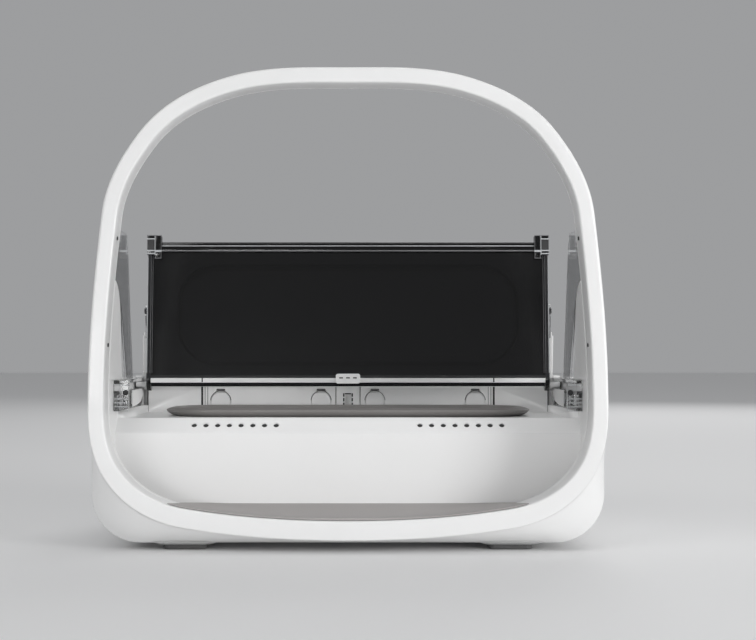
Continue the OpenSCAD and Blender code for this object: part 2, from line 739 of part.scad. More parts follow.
// Outline of one involute gear, centred, with a tooth on the +X axis
backlash = 0.06;
function involute(rb, t) = rb * [cos(t) + t * PI / 180 * sin(t), sin(t) - t * PI / 180 * cos(t)];
function roll_at(rb, r) = sqrt(max(0, r * r / (rb * rb) - 1)) * 180 / PI;
function lean_at(rb, r) = let (p = involute(rb, roll_at(rb, r))) atan2(p[1], p[0]);
function gear_outline(n) = let (rp = tooth_m * n / 2, rb = rp * cos(20),
    ro = rp + 0.9 * tooth_m, rr = rp - 1.2 * tooth_m, half = 90 / n - backlash / rp * 90 / PI + lean_at(rb, rp),
    r0 = max(rb, rr),
    side = [for (i = [0:4]) let (r = r0 + (ro - r0) * i / 4) [r, half - lean_at(rb, r)]])
    [for (k = [0:n - 1]) let (c = 360 * k / n)
        each concat([rr * turn(c - half - 0.01)], [for (s = side) s[0] * turn(c - s[1])],
            [for (i = [4:-1:0]) side[i][0] * turn(c + side[i][1])], [rr * turn(c + half + 0.01)])];

module gear(n, spin) {
    rotate([90, 0, 90]) rotate([0, 0, spin]) linear_extrude(gear_w) difference() {
        polygon(gear_outline(n));
        circle(r = shaft_r + 0.01);
    }
}

module shaft_gear() {
    color("gold") translate([gear_in, shaft_y, shaft_z]) gear(shaft_teeth, gear_angle);
}

module motor_gear() {
    color("gold") translate([gear_in, motor_y, motor_z])
        gear(motor_teeth, gear_angle + 180 + 180 / motor_teeth);
}

motor_face = lid_half - 3;
module motor_rotor_shaft() {
    color("silver") translate([motor_face - 6, motor_y, motor_z]) rotate([0, 90, 0])
        cylinder(h = gear_in + gear_w - motor_face + 6, r = shaft_r);
}

gearbox_l = 22;
can_r = 8;
module gear_motor() {
    color("dimgray") difference() {
        union() {
            translate([motor_face - gearbox_l, bay_y + 0.4, motor_z - 12])
                cube([gearbox_l, motor_y - bay_y + 12, rear_wall_top - wall - 0.4 - motor_z + 12]);
            translate([motor_face - gearbox_l - 30, bay_y + 0.6 + can_r, motor_z - 5]) rotate([0, 90, 0])
                cylinder(h = 30.1, r = can_r);
        }
        translate([motor_face - 6.2, motor_y, motor_z]) rotate([0, 90, 0])
            cylinder(h = 10, r = shaft_r + run);
    }
}

// Places for the lift arms, along the open arm from the shaft
module on_arm() {
    translate([0, shaft_y, shaft_z]) rotate([lean, 0, 0]) children();
}

module link() {
    difference() {
        on_arm() along_x(link_in, link_in + link_t) {
            circle(r = hub_r);
            translate([0, arm_r]) circle(r = 4.4);
            polygon([[-4, 0], [4, 0], [3.4, arm_r], [-3.4, arm_r]]);
        }
        on_arm() along_x(link_in - 1, link_in + link_t + 1) {
            circle(r = shaft_r + 0.01);
            translate([0, arm_r]) circle(r = pin_r + run);
        }
    }
}
module right_link() { color(clear) link(); }
module left_link() { color(clear) mirror([1, 0, 0]) link(); }

cover_len = 37;
module arm_cover() {
    difference() {
        on_arm() along_x(cover_in, cover_in + cover_t) {
            circle(r = hub_r + 0.1);
            polygon([[-hub_r, 0], [hub_r, 0], [hub_r - 0.4, cover_len], [0.4 - hub_r, cover_len - 5]]);
        }
        on_arm() along_x(cover_in - 1, cover_in + cover_t + 1) circle(r = shaft_r + 0.01);
    }
}
module right_arm_cover() { color(white) arm_cover(); }
module left_arm_cover() { color(white) mirror([1, 0, 0]) arm_cover(); }

// Lid frame: Z runs from the guide pins to the rear edge, and -Y points out of the lid
module on_lid() {
    translate([0, guide_y, shaft_z]) rotate([-lean, 0, 0]) children();
}

lid_len = 2 * arm_r;
flange_t = 3;
flange_in = lid_half - flange_t;
panel_y = -panel_off - panel_t;
panel_z0 = 3.4;
panel_z1 = lid_len - 3;
module lid_panel() {
    color(smoke) on_lid() along_y(panel_y, -panel_off) translate([0, (panel_z0 + panel_z1) / 2])
        round_rect(2 * flange_in, panel_z1 - panel_z0, 0.6);
}

module lid_flange() {
    on_lid() {
        along_x(flange_in, lid_half) {
            intersection() {
                translate([0, arm_r]) circle(r = arm_r - 3, $fn = 128);
                translate([panel_y, 0]) square([flange_d - panel_y, panel_z1]);
            }
            circle(r = pin_r + 2.4);
            translate([panel_y, 0]) square([3, panel_z0 + 12]);
        }
        translate([lid_half - eps, 0, 0]) rotate([0, 90, 0])
            cylinder(h = rail_out - lid_half - 0.5, r = pin_r);
        translate([lid_half - eps, 0, arm_r]) rotate([0, 90, 0]) cylinder(h = link_t + 1.2, r = pin_r);
    }
}
module right_lid_flange() { color(clear) lid_flange(); }
module left_lid_flange() { color(clear) mirror([1, 0, 0]) lid_flange(); }

// Clear bar along the rear edge, with a knuckle at each end that drops over the cross shaft
knuckle_w = 10;
module lid_rear_bar() {
    groove = 0.06;
    color(clear) on_lid() difference() {
        union() {
            translate([-flange_in, panel_y - 2, panel_z1 - 2.6]) cube([2 * flange_in, panel_t + 3.2, 6]);
            mirrored() translate([flange_in - 7, panel_y - 3.2, 0]) {
                translate([0, 0, lid_len - 12]) cube([knuckle_w, 3.1, 15]);
                translate([0, 0, panel_z1 + groove]) cube([knuckle_w, 6.4, 6 - groove]);
            }
        }
        translate([-flange_in - 5, panel_y - groove, panel_z1 - 20])
            cube([2 * flange_in + 10, panel_t + 2 * groove, 20 + groove]);
        mirrored() translate([flange_in - groove, panel_y - groove, panel_z1 - 20])
            cube([6, 20, 20 + groove]);
    }
}

// White bar along the front edge, with the centre tab
module lid_front_bar() {
    groove = 0.06;
    bar_half = flange_in - 0.2;
    color(white) on_lid() difference() {
        union() {
            translate([-bar_half, panel_y - 1.4, 1.6]) cube([2 * bar_half, panel_t + 2.6, 4.4]);
            hull() {
                for (s = [-1, 1], z = [1.6, 5.4])
                    translate([s * 7, 0, z]) along_y(panel_y - 3.2, panel_y - 1) circle(r = 1.5);
            }
        }
        translate([-bar_half - 1, panel_y - groove, panel_z0 - groove])
            cube([2 * bar_half + 2, panel_t + 2 * groove, 20]);
    }
}

// Seal that stands on the bowl rim when the lid is shut
seal_t = 2.4;
seal_y1 = shaft_z - bowl_top - gap;
module lid_seal() {
    rim_mid = bowl_y - closed_y;
    w = bowl_w - rim_w;
    d = bowl_d - rim_w;
    color(dark) on_lid() along_y(-panel_off, seal_y1) translate([0, rim_mid]) difference() {
        round_rect(w + seal_t, d + seal_t, bowl_corner);
        round_rect(w - seal_t, d - seal_t, bowl_corner - seal_t);
    }
}

// Battery door: a plate on two end pins, with a catch along its front edge
module door(s) {
    y0 = door_y - door_d / 2 + door_gap;
    y1 = door_hinge_y + 1.2;
    color(white) translate([s * (door_x + door_w / 2), 0, 0]) {
        translate([0, (y0 + y1) / 2, base_z]) linear_extrude(cover_t_z)
            round_rect(door_w - 2 * door_gap, y1 - y0, 1);
        translate([0, door_hinge_y, door_hinge_z]) rotate([0, 90, 0])
            cylinder(h = door_w + 2.4, r = door_pin_r, center = true);
        translate([-6, y0 + 0.6, base_z + cover_t_z - eps]) cube([12, 1.4, 3]);
    }
}
module left_battery_door() { door(-1); }
module right_battery_door() { door(1); }

module cells(s) {
    color([0.15, 0.3, 0.5]) for (k = [0, 1]) {
        x0 = s * (door_x + 2.4) + (s < 0 ? -(k + 1) : k) * (cell_l + 0.1);
        translate([x0, door_y, cell_z]) rotate([0, 90, 0]) {
            cylinder(h = cell_l - 1.6, r = cell_d / 2);
            cylinder(h = cell_l, r = 3.6);
        }
    }
}
module left_cells() { cells(-1); }
module right_cells() { cells(1); }

contact_w = 16;
contact_t = 0.8;
module battery_contacts() {
    color("gold") for (s = [-1, 1], end = [0, 1])
        translate([s * (door_x + 0.5 + end * (door_w - 1)), door_y, cell_z])
            cube([contact_t, contact_w, contact_w], center = true);
}

module circuit_board() {
    color([0.1, 0.4, 0.2]) union() {
        translate([-board_w / 2, board_y - board_t, button_z - board_h / 2])
            cube([board_w, board_t, board_h]);
        for (i = [-1:1]) translate([i * button_pitch - 3, board_y - 0.01, button_z - 3]) cube([6, 3, 6]);
    }
}

// Push button: cap, trapping flange and stem
module push_button(i) {
    inner = rear_y - wall;
    color("gainsboro") translate([i * button_pitch, 0, button_z]) rotate([-90, 0, 0]) {
        translate([0, 0, inner - 1.6]) cylinder(h = depth / 2 - inner + 1.6, r = button_r);
        translate([0, 0, inner - 1.7]) cylinder(h = 1.5, r = button_r + 1.6);
        translate([0, 0, board_y + 3 + button_travel + 0.1]) cylinder(h = 1.8, r = 2);
    }
}
module add_button() { push_button(-1); }
module open_button() { push_button(0); }
module learn_button() { push_button(1); }

module status_light() {
    color([0.2, 0.7, 0.3]) translate([0, rear_y - wall - 3.6, light_z]) rotate([-90, 0, 0]) {
        cylinder(h = wall + 3, r = 2);
        cylinder(h = 1.7, r = 2.8);
    }
}

hoop_front();
hoop_rear();
antenna_coil();
hoop_sensors();
base_shell();
bottom_cover();
left_cheek();
right_cheek();
left_shield();
right_shield();
left_rail();
right_rail();
left_bearing();
right_bearing();
rear_wall_insert();
sound_screen();
bowl_well();
bowl();
front_mat();
cross_shaft();
shaft_gear();
motor_gear();
gear_motor();
motor_rotor_shaft();
left_link();
right_link();
left_arm_cover();
right_arm_cover();
lid_panel();
left_lid_flange();
right_lid_flange();
lid_rear_bar();
lid_front_bar();
lid_seal();
left_battery_door();
right_battery_door();
left_cells();
right_cells();
battery_contacts();
circuit_board();
add_button();
open_button();
learn_button();
status_light();
rubber_feet();
base_screws();
hoop_screws();
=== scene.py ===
"""A pet feeder with a reader hoop, a bowl on a white base and a smoky lid that tips up behind the bowl."""

import json
import math

import bmesh
import bpy
import numpy as np
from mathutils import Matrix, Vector


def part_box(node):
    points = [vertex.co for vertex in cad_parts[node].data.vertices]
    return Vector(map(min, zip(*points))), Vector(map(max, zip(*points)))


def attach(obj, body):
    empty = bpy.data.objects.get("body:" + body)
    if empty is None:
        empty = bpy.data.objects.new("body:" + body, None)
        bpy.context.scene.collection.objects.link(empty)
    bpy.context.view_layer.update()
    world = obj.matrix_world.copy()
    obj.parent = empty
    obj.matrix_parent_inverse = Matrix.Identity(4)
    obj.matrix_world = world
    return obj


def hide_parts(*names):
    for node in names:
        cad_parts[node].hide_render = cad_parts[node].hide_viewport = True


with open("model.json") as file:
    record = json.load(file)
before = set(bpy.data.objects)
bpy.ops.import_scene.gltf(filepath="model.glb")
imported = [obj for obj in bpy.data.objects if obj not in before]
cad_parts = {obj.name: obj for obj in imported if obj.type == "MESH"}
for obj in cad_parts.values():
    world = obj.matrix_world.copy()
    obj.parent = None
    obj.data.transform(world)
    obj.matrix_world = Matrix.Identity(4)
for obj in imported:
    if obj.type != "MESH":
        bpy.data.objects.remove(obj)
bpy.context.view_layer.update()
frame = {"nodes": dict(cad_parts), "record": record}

# Reader hoop: two white plastic mouldings, a channel and a ribbed cover that is pressed into it behind the
# wire coil and screwed to the base. They follow an outline of tangent curves, thicker along the bottom, with
# soft outer edges and a fine seam.
HOOP_LOW, HOOP_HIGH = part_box("hoop_front")
HALF, TOP, BOTTOM, FRONT = HOOP_HIGH.x, HOOP_HIGH.z, HOOP_LOW.z, HOOP_LOW.y
HOOP_SEAM = HOOP_HIGH.y
HOOP_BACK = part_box("hoop_rear")[1].y
BELLY = 0.088
HOOP_T, HOOP_FOOT_T, HOOP_WALL = 0.0096, 0.0022, 0.002
HOOP_NODES = [(0, TOP, 0), (0.0735, TOP - 0.006, -16.5), (HALF - 0.032, TOP - 0.0385, -52),
              (HALF - 0.0085, TOP - 0.0885, -83), (HALF, BELLY, -90), (HALF - 0.013, BOTTOM + 0.0335, -127),
              (HALF - 0.058, BOTTOM + 0.0075, -170.5), (0, BOTTOM, -180)]


def bend(start, end, steps):
    """Near-round cubic from node to node, its handles 2/3 * chord * tan(turn / 4) / sin(turn / 2) long."""
    a, d = np.array(start[:2]), np.array(end[:2])
    turn = math.radians(max(1.0, start[2] - end[2]))
    handle = np.linalg.norm(d - a) * math.tan(turn / 4) / math.sin(turn / 2) * 2 / 3
    heading = [np.array([math.cos(math.radians(n[2])), math.sin(math.radians(n[2]))]) for n in (start, end)]
    b, c = a + handle * heading[0], d - handle * heading[1]
    t = np.linspace(0, 1, steps, endpoint=False)[:, None]
    return (1 - t) ** 3 * a + 3 * (1 - t) ** 2 * t * b + 3 * (1 - t) * t * t * c + t ** 3 * d


def hoop_outline(count):
    """The closed outline as evenly spaced points, clockwise from the top, and its inward normals."""
    right = np.vstack([bend(p, q, 60) for p, q in zip(HOOP_NODES, HOOP_NODES[1:])] + [[[0, BOTTOM]]])
    ring = np.vstack([right, right[-2:0:-1] * [-1, 1]])
    closed = np.vstack([ring, ring[:1]])
    along = np.concatenate([[0], np.cumsum(np.linalg.norm(np.diff(closed, axis=0), axis=1))])
    at = np.linspace(0, along[-1], count, endpoint=False)
    points = np.stack([np.interp(at, along, closed[:, k]) for k in (0, 1)], axis=1)
    tangent = np.roll(points, -2, axis=0) - np.roll(points, 2, axis=0)
    tangent /= np.linalg.norm(tangent, axis=1)[:, None]
    return points, np.stack([tangent[:, 1], -tangent[:, 0]], axis=1)


def shell(name, grids, smooth_angle=32):
    """One closed mesh from grids points[u, v]: round in v, and in u either round or capped at both ends."""
    places, faces, start = [], [], 0
    for points, round_u in grids:
        rows, cols = points.shape[:2]
        index = start + np.arange(rows * cols).reshape(rows, cols)
        index = np.hstack([index, index[:, :1]])
        if round_u:
            index = np.vstack([index, index[:1]])
        quads = np.stack([index[:-1, :-1], index[1:, :-1], index[1:, 1:], index[:-1, 1:]], axis=-1)
        faces += quads.reshape(-1, 4).tolist()
        if not round_u:
            faces += [index[0, :cols].tolist(), index[-1, :cols][::-1].tolist()]
        places.append(points.reshape(-1, 3))
        start += rows * cols
    mesh = bpy.data.meshes.new(name)
    mesh.from_pydata(np.vstack(places).tolist(), [], faces)
    piece = bpy.data.objects.new(name, mesh)
    bpy.context.scene.collection.objects.link(piece)
    work = bmesh.new()
    work.from_mesh(mesh)
    bmesh.ops.remove_doubles(work, verts=work.verts, dist=1e-7)
    bmesh.ops.recalc_face_normals(work, faces=work.faces)
    work.to_mesh(mesh)
    work.free()
    mesh.shade_smooth()
    mesh.set_sharp_from_angle(angle=math.radians(smooth_angle))
    return piece


def arc(cx, cy, r, a0, a1, n):
    """Points of an arc about (cx, cy), its angles in degrees."""
    a = np.radians(np.linspace(a0, a1, n))
    return np.stack([cx + r * np.cos(a), cy + r * np.sin(a)], axis=1)


def hoop_sweep(name, section, low_section, count=480):
    """Carries a section of (share of the thickness, offset, y) round the outline, and fades to the low one
    at the base: point + normal * (share * t + offset), where t = HOOP_T + HOOP_FOOT_T * up ** 2."""
    ring, inward = hoop_outline(count)
    thick = HOOP_T + HOOP_FOOT_T * np.clip(inward[:, 1], 0, None) ** 2
    low = np.clip((BELLY + 0.01 - ring[:, 1]) / 0.03, 0, 1)[:, None]
    (share, offset, y), (_, low_offset, low_y) = np.array(section, float).T, np.array(low_section, float).T
    reach = thick[:, None] * share + offset * (1 - low) + low_offset * low
    depth = y * (1 - low) + low_y * low
    points = np.stack([ring[:, None, 0] + inward[:, None, 0] * reach, depth,
                       ring[:, None, 1] + inward[:, None, 1] * reach], axis=-1)
    return shell(name, [(points, True)])


class Value:
    """A shader socket in an expression: each operator on it adds one Math node and gives its result."""

    def __init__(self, finish, socket):
        self.finish, self.socket = finish, socket

    def math(self, operation, a, b):
        return self.finish.node("ShaderNodeMath", {"operation": operation}, {0: a, 1: b})

    def __add__(self, other):
        return self.math("ADD", self, other)

    def __radd__(self, other):
        return self.math("ADD", other, self)

    def __mul__(self, other):
        return self.math("MULTIPLY", self, other)

    def __rmul__(self, other):
        return self.math("MULTIPLY", other, self)


class Finish:
    """A material: a Principled shader whose varying sockets take Values and whose plain ones take numbers."""

    def __init__(self, name, colour, roughness, **constants):
        self.material = bpy.data.materials.new(name)
        self.material.use_nodes = True
        self.tree = self.material.node_tree
        self.shader = self.tree.nodes["Principled BSDF"]
        self.shader.inputs["Base Color"].default_value = (*colour, 1)
        self.shader.inputs["Roughness"].default_value = roughness
        for socket, value in constants.items():
            self.shader.inputs[socket.replace("_", " ")].default_value = value

    def node(self, kind, settings, inputs, output=0):
        made = self.tree.nodes.new(kind)
        for key, value in settings.items():
            setattr(made, key, value)
        for key, value in inputs.items():
            if isinstance(value, Value):
                self.tree.links.new(value.socket, made.inputs[key])
            else:
                made.inputs[key].default_value = value
        return Value(self, made.outputs[output])

    def noise(self, scale, detail):
        place = self.node("ShaderNodeTexCoord", {}, {}, "Object")
        return self.node("ShaderNodeTexNoise", {}, {"Vector": place, "Scale": scale, "Detail": detail})

    def mix(self, share, a, b):
        return self.node("ShaderNodeMix", {"data_type": "RGBA"}, {0: share, 6: a, 7: b}, 2)

    def set(self, socket, value):
        self.tree.links.new(value.socket, self.shader.inputs[socket])

    def bump(self, height, strength, distance, rounding=None):
        inputs = {"Height": height, "Strength": strength, "Distance": distance}
        if rounding:
            inputs["Normal"] = self.node("ShaderNodeBevel", {"samples": 6}, {"Radius": rounding})
        self.set("Normal", self.node("ShaderNodeBump", {}, inputs))


def moulded(name, low, high, roughness, grain=1800, depth=0.00003, rounding=0.0005, **constants):
    """A faint cloud in the colour, a fine sparked grain in roughness and bump, and rounded edges."""
    finish = Finish(name, high[:3], roughness, **constants)
    cloud = finish.noise(14, 4)
    finish.set("Base Color", finish.mix(cloud, (*low, 1), (*high, 1)))
    fine = finish.noise(grain, 3)
    finish.set("Roughness", fine * 0.10 + cloud * 0.06 + (roughness - 0.08))
    finish.bump(fine, 0.35, depth, rounding)
    return finish.material


def put(piece, material, slot, body, *nodes):
    """Gives a finished piece its material, slot and body, and hides the CAD nodes that it stands for."""
    piece.data.materials.clear()
    piece.data.materials.append(material)
    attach(piece, body)
    if nodes:
        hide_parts(*nodes)
    return piece


white_plastic = moulded("white_plastic_moulded", (0.79, 0.79, 0.785), (0.83, 0.83, 0.828), 0.36,
                        Coat_Weight=0.12)
SEAM = 0.0002
LIP, RIB_T, RIB_H = HOOP_WALL + 0.0002, 0.0012, 0.003
FRONT_R, FRONT_R_LOW, INNER_R, REAR_R, REAR_R_LOW = 0.0018, 0.0005, 0.0013, 0.0012, 0.0003


def front_section(outer, inner):
    """The channel, with its outer and inner edges rounded to these radii."""
    return ([(0, p[0], p[1]) for p in arc(outer, FRONT + outer, outer, 270, 180, 9)]
            + [(0, 0, HOOP_SEAM - 2 * SEAM), (0, SEAM, HOOP_SEAM), (0, HOOP_WALL, HOOP_SEAM)]
            + [(0, HOOP_WALL, FRONT + HOOP_WALL), (1, -HOOP_WALL, FRONT + HOOP_WALL)]
            + [(1, -HOOP_WALL, HOOP_SEAM)]
            + [(1, -SEAM, HOOP_SEAM), (1, 0, HOOP_SEAM - 2 * SEAM)]
            + [(1, p[0], p[1]) for p in arc(-inner, FRONT + inner, inner, 0, -90, 9)])


def rear_section(outer, inner):
    """The cover, with two low ribs that step into the channel."""
    return ([(0, SEAM, HOOP_SEAM), (0, 0, HOOP_SEAM + 2 * SEAM)]
            + [(0, p[0], p[1]) for p in arc(outer, HOOP_BACK - outer, outer, 180, 90, 6)]
            + [(1, p[0], p[1]) for p in arc(-inner, HOOP_BACK - inner, inner, 90, 0, 6)]
            + [(1, 0, HOOP_SEAM + 2 * SEAM), (1, -SEAM, HOOP_SEAM)]
            + [(1, -LIP, HOOP_SEAM), (1, -LIP, HOOP_SEAM - RIB_H), (1, -LIP - RIB_T, HOOP_SEAM - RIB_H)]
            + [(1, -LIP - RIB_T, HOOP_SEAM), (0, LIP + RIB_T, HOOP_SEAM), (0, LIP + RIB_T, HOOP_SEAM - RIB_H)]
            + [(0, LIP, HOOP_SEAM - RIB_H), (0, LIP, HOOP_SEAM)])


put(hoop_sweep("reader_hoop_front", front_section(FRONT_R, INNER_R), front_section(FRONT_R_LOW, INNER_R)),
    white_plastic, "white_plastic", "base", "hoop_front")
put(hoop_sweep("reader_hoop_rear", rear_section(REAR_R, REAR_R), rear_section(REAR_R_LOW, REAR_R)),
    white_plastic, "white_plastic", "base", "hoop_rear")


# White body: the base moulding with its soft foot bulges, the screwed bottom cover, the side fairings, the
# removable rear wall, the shaft posts and the arm covers, all of the hoop's white plastic.
body_of = {node: body for body, nodes in frame["record"]["behaviour"]["bodies"].items() for node in nodes}
slot_of = {part["node"]: part["material_slot"] for part in frame["record"]["subparts"]}


def dressed(node, material, rounding=0.0, smooth_angle=32, suffix="_moulding"):
    """A copy of a CAD node's mesh, merged, its sharp edges rounded, and shaded smooth between them."""
    mesh = frame["nodes"][node].data.copy()
    mesh.name = node + suffix
    piece = bpy.data.objects.new(node + suffix, mesh)
    bpy.context.scene.collection.objects.link(piece)
    work = bmesh.new()
    work.from_mesh(mesh)
    bmesh.ops.remove_doubles(work, verts=work.verts, dist=2e-6)
    bmesh.ops.dissolve_limit(work, angle_limit=math.radians(0.4), verts=work.verts, edges=work.edges)
    work.to_mesh(mesh)
    work.free()
    mesh.shade_smooth()
    mesh.set_sharp_from_angle(angle=math.radians(smooth_angle))
    if rounding:
        edges = piece.modifiers.new("rounded_edges", "BEVEL")
        edges.width, edges.segments = rounding, 2
        edges.limit_method, edges.angle_limit = "ANGLE", math.radians(35)
        edges.harden_normals = True
    else:
        weigh = piece.modifiers.new("weigh", "WEIGHTED_NORMAL")
        weigh.keep_sharp = True
    return put(piece, material, slot_of[node], body_of[node], node)


def round_rect(w, d, r, per_corner=14):
    """A rounded rectangle about the middle, anticlockwise, as points (u, v)."""
    corners = [arc(sx * (w / 2 - r), sy * (d / 2 - r), r, a, a + 90, per_corner)
               for sx, sy, a in ((1, 1, 0), (-1, 1, 90), (-1, -1, 180), (1, -1, 270))]
    return np.vstack(corners)


def turned(w, d, r, profile, at=(0, 0, 0), axis="z", tilt=0.0, per_corner=14):
    """Rings of a rounded rectangle, each drawn in by an inset and set at a height along an axis, from a
    profile of (inset, height). tilt, in degrees, then turns the solid about X."""
    rings = []
    for inset, height in profile:
        ring = round_rect(w - 2 * inset, d - 2 * inset, max(r - inset, 0.0002), per_corner)
        up = np.full(len(ring), height)
        rings.append(np.stack({"z": (ring[:, 0], ring[:, 1], up), "y": (ring[:, 0], up, ring[:, 1]),
                               "x": (up, ring[:, 0], ring[:, 1])}[axis], axis=1))
    points, a = np.array(rings), math.radians(tilt)
    y, z = points[..., 1].copy(), points[..., 2].copy()
    points[..., 1], points[..., 2] = y * math.cos(a) - z * math.sin(a), y * math.sin(a) + z * math.cos(a)
    return points + np.array(at), False


def pair(grids):
    """The same grids again on the other side of the middle plane."""
    return grids + [(points[:, ::-1] * [-1, 1, 1], round_u) for points, round_u in grids]


FEET_LOW, FEET_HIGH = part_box("rubber_feet")
FOOT_X, PAD_L, PAD_W = 0.101, 0.027, 0.015
FOOT_YS = (FEET_LOW.y + PAD_W / 2, FEET_HIGH.y - PAD_W / 2)
bulge_profile = [(-0.0035, 0.0060), (-0.0018, 0.0054), (-0.0004, 0.0050), (0.0012, 0.0045), (0.0032, 0.0039),
                 (0.0056, 0.0035), (0.0080, 0.0033), (0.0096, 0.0032)]
BULGE_L, BULGE_W, BULGE_R = 0.045, 0.026, 0.011
bulges = [turned(BULGE_L, BULGE_W, BULGE_R, bulge_profile, (FOOT_X, y, 0)) for y in FOOT_YS]
put(shell("foot_bulges", pair(bulges)), white_plastic, "white_plastic", "base")
for node in ("base_shell", "bottom_cover", "left_cheek", "right_cheek", "rear_wall_insert"):
    dressed(node, white_plastic)
for node in ("left_bearing", "right_bearing", "left_arm_cover", "right_arm_cover"):
    dressed(node, white_plastic, 0.0004)

# Collar: the white skin, moulded with the base, that carries the body forward round the lower half of the
# hoop. It runs from the hoop's outer edge to the rounded lower corners, so that both read as one piece.
BASE_Z, CORNER_R, BASE_FRONT = 0.005, 0.030, FRONT + 0.0164
SKIN, SKIN_EDGE, PROUD, INSIDE = 0.0009, 0.00005, 0.00015, 0.00006
LIP_BACK, LIP_IN, FADE_TOP, FADE = 0.0008, 0.001, 0.087, 0.016


def evenly(points, count):
    """count points at equal distances along a line."""
    along = np.concatenate([[0], np.cumsum(np.linalg.norm(np.diff(points, axis=0), axis=1))])
    at = np.linspace(0, along[-1], count)
    return np.stack([np.interp(at, along, points[:, k]) for k in (0, 1)], axis=1)


def collar_skin(count=150, steps=14):
    """Points (1 - s) * hoop + s * base, where s = t + 0.1 * sin(pi * t) and t runs from hoop to base."""
    low_hoop = [bend(p, q, 60) for p, q in zip(HOOP_NODES[4:], HOOP_NODES[5:])]
    hoop = evenly(np.vstack(low_hoop + [[[0, BOTTOM]]]), count)
    base = evenly(np.vstack([[[HALF - INSIDE, BELLY]],
                             arc(HALF - CORNER_R, BASE_Z + CORNER_R, CORNER_R - INSIDE, 0, -90, 40),
                             [[0, BASE_Z + INSIDE]]]), count)
    t = np.linspace(0, 1, steps)[:, None, None]
    s = t + 0.1 * np.sin(math.pi * t)
    right = (1 - s) * hoop + s * base
    line = np.concatenate([right, right[:, -2::-1] * [-1, 1]], axis=1)
    tangent = np.gradient(line, axis=1)
    outward = np.stack([-tangent[..., 1], tangent[..., 0]], axis=-1)
    outward /= np.linalg.norm(outward, axis=-1, keepdims=True)
    share = np.clip((FADE_TOP - line[0, :, 1]) / FADE, 0, 1)
    share = share * share * (3 - 2 * share)
    lip = BASE_FRONT - LIP_IN + (FRONT + LIP_BACK - BASE_FRONT + LIP_IN) * share
    depth = lip + (BASE_FRONT - lip) * t[..., 0]
    outer = line + outward * PROUD
    inner = line + outward * (SKIN_EDGE - SKIN * t)
    points = np.concatenate([np.dstack([outer[..., 0], depth, outer[..., 1]]),
                             np.dstack([inner[..., 0], depth + 2 * SKIN_EDGE, inner[..., 1]])[::-1]])
    return points.transpose(1, 0, 2), False


put(shell("collar_skin", [collar_skin()]), white_plastic, "white_plastic", "base")

# Gear cover: a thin white plastic disc, pressed into the right side wall over the motor gear that turns the
# lid's shaft.
MOTOR_LOW, MOTOR_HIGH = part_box("motor_gear")
COVER_X, COVER_EDGE = 0.14977, 0.0012
gear_at, cover_r = (MOTOR_LOW + MOTOR_HIGH) / 2, (MOTOR_HIGH.z - MOTOR_LOW.z) / 2 + COVER_EDGE
cover_profile = [(0.0003, COVER_X), (0, COVER_X + 0.0001), (0, COVER_X + 0.0004)]
disc = turned(2 * cover_r, 2 * cover_r, cover_r, cover_profile, (0, gear_at.y, gear_at.z), "x")
put(shell("gear_cover", [disc]), white_plastic, "white_plastic", "base")

# Rear wall joints: the white wall behind the bowl snaps in and out. Dark strips of painted shade fill the
# gaps beside it and round its centre catch, and grey lines of painted shade mark fine grooves round its four
# half-round tongues and the slot on top of each.
# dark_plastic is the colour of real dark parts, and here also of painted shade in the wall's and front bar's
# gaps.
dark_plastic = moulded("dark_plastic", (0.008, 0.008, 0.009), (0.014, 0.014, 0.015), 0.45)
joint_shadow = moulded("joint_shadow", (0.10, 0.10, 0.10), (0.14, 0.14, 0.14), 0.5)
WALL_Y, WALL_TOP, DECK = 0.049, 0.098, 0.080
WALL_LOW, LINE_OUT, LINE_IN, GAP_OUT, GAP_IN = DECK + 0.0004, 0.0002, 0.0004, 0.0003, 0.0006
TONGUE_R, TONGUE_Z, TONGUES = 0.0072, 0.088, (0.019, 0.090)
TONGUE_SLOT_SHADE_W, TONGUE_SLOT_SHADE_LOW, TONGUE_SLOT_SHADE_TOP = 0.0030, 0.0001, 0.0014
CATCH_X, CATCH_DASHES, DASH_T, DASH_H = 0.0025, (0.0044, 0.0077, 0.0110), 0.0010, 0.0024
CATCH_W, CATCH_ENDS, END_H = 0.0022, (0.0044, 0.0127), 0.0008
END_GAP, POST_GAP = (0.1025, 0.1038), (0.1411, 0.1419)
END_LINES, LINE_W, CATCH_LINE, CATCH_LINE_W = (0.0990, 0.1009), 0.0004, 0.0085, 0.0003


def block(low, high, r=0.0):
    """A box between two corners; r rounds its upper and lower edges and its corners."""
    low, high = np.array(low, float), np.array(high, float)
    size, middle = high - low, (low + high) / 2
    h, r = size[2] / 2, max(r, 0.00001)
    profile = [(r, -h), (0.3 * r, -h + 0.3 * r), (0, -h + r), (0, h - r), (0.3 * r, h - 0.3 * r), (r, h)]
    return turned(size[0], size[1], r * 1.01, profile, middle, per_corner=4 if r > 0.0001 else 2)


def tongue_line(x, start=4, end=176, steps=25):
    """Painted shade of a groove round a half-round tongue: a flat strip between two radii, from one angle to
    the other.
    """
    ring = np.vstack([arc(x, TONGUE_Z, TONGUE_R + LINE_W / 2, start, end, steps),
                      arc(x, TONGUE_Z, TONGUE_R - LINE_W / 2, end, start, steps)])
    return np.array([np.stack([ring[:, 0], np.full(len(ring), y), ring[:, 1]], axis=1)
                     for y in (WALL_Y - LINE_OUT, WALL_Y + LINE_IN)]), False
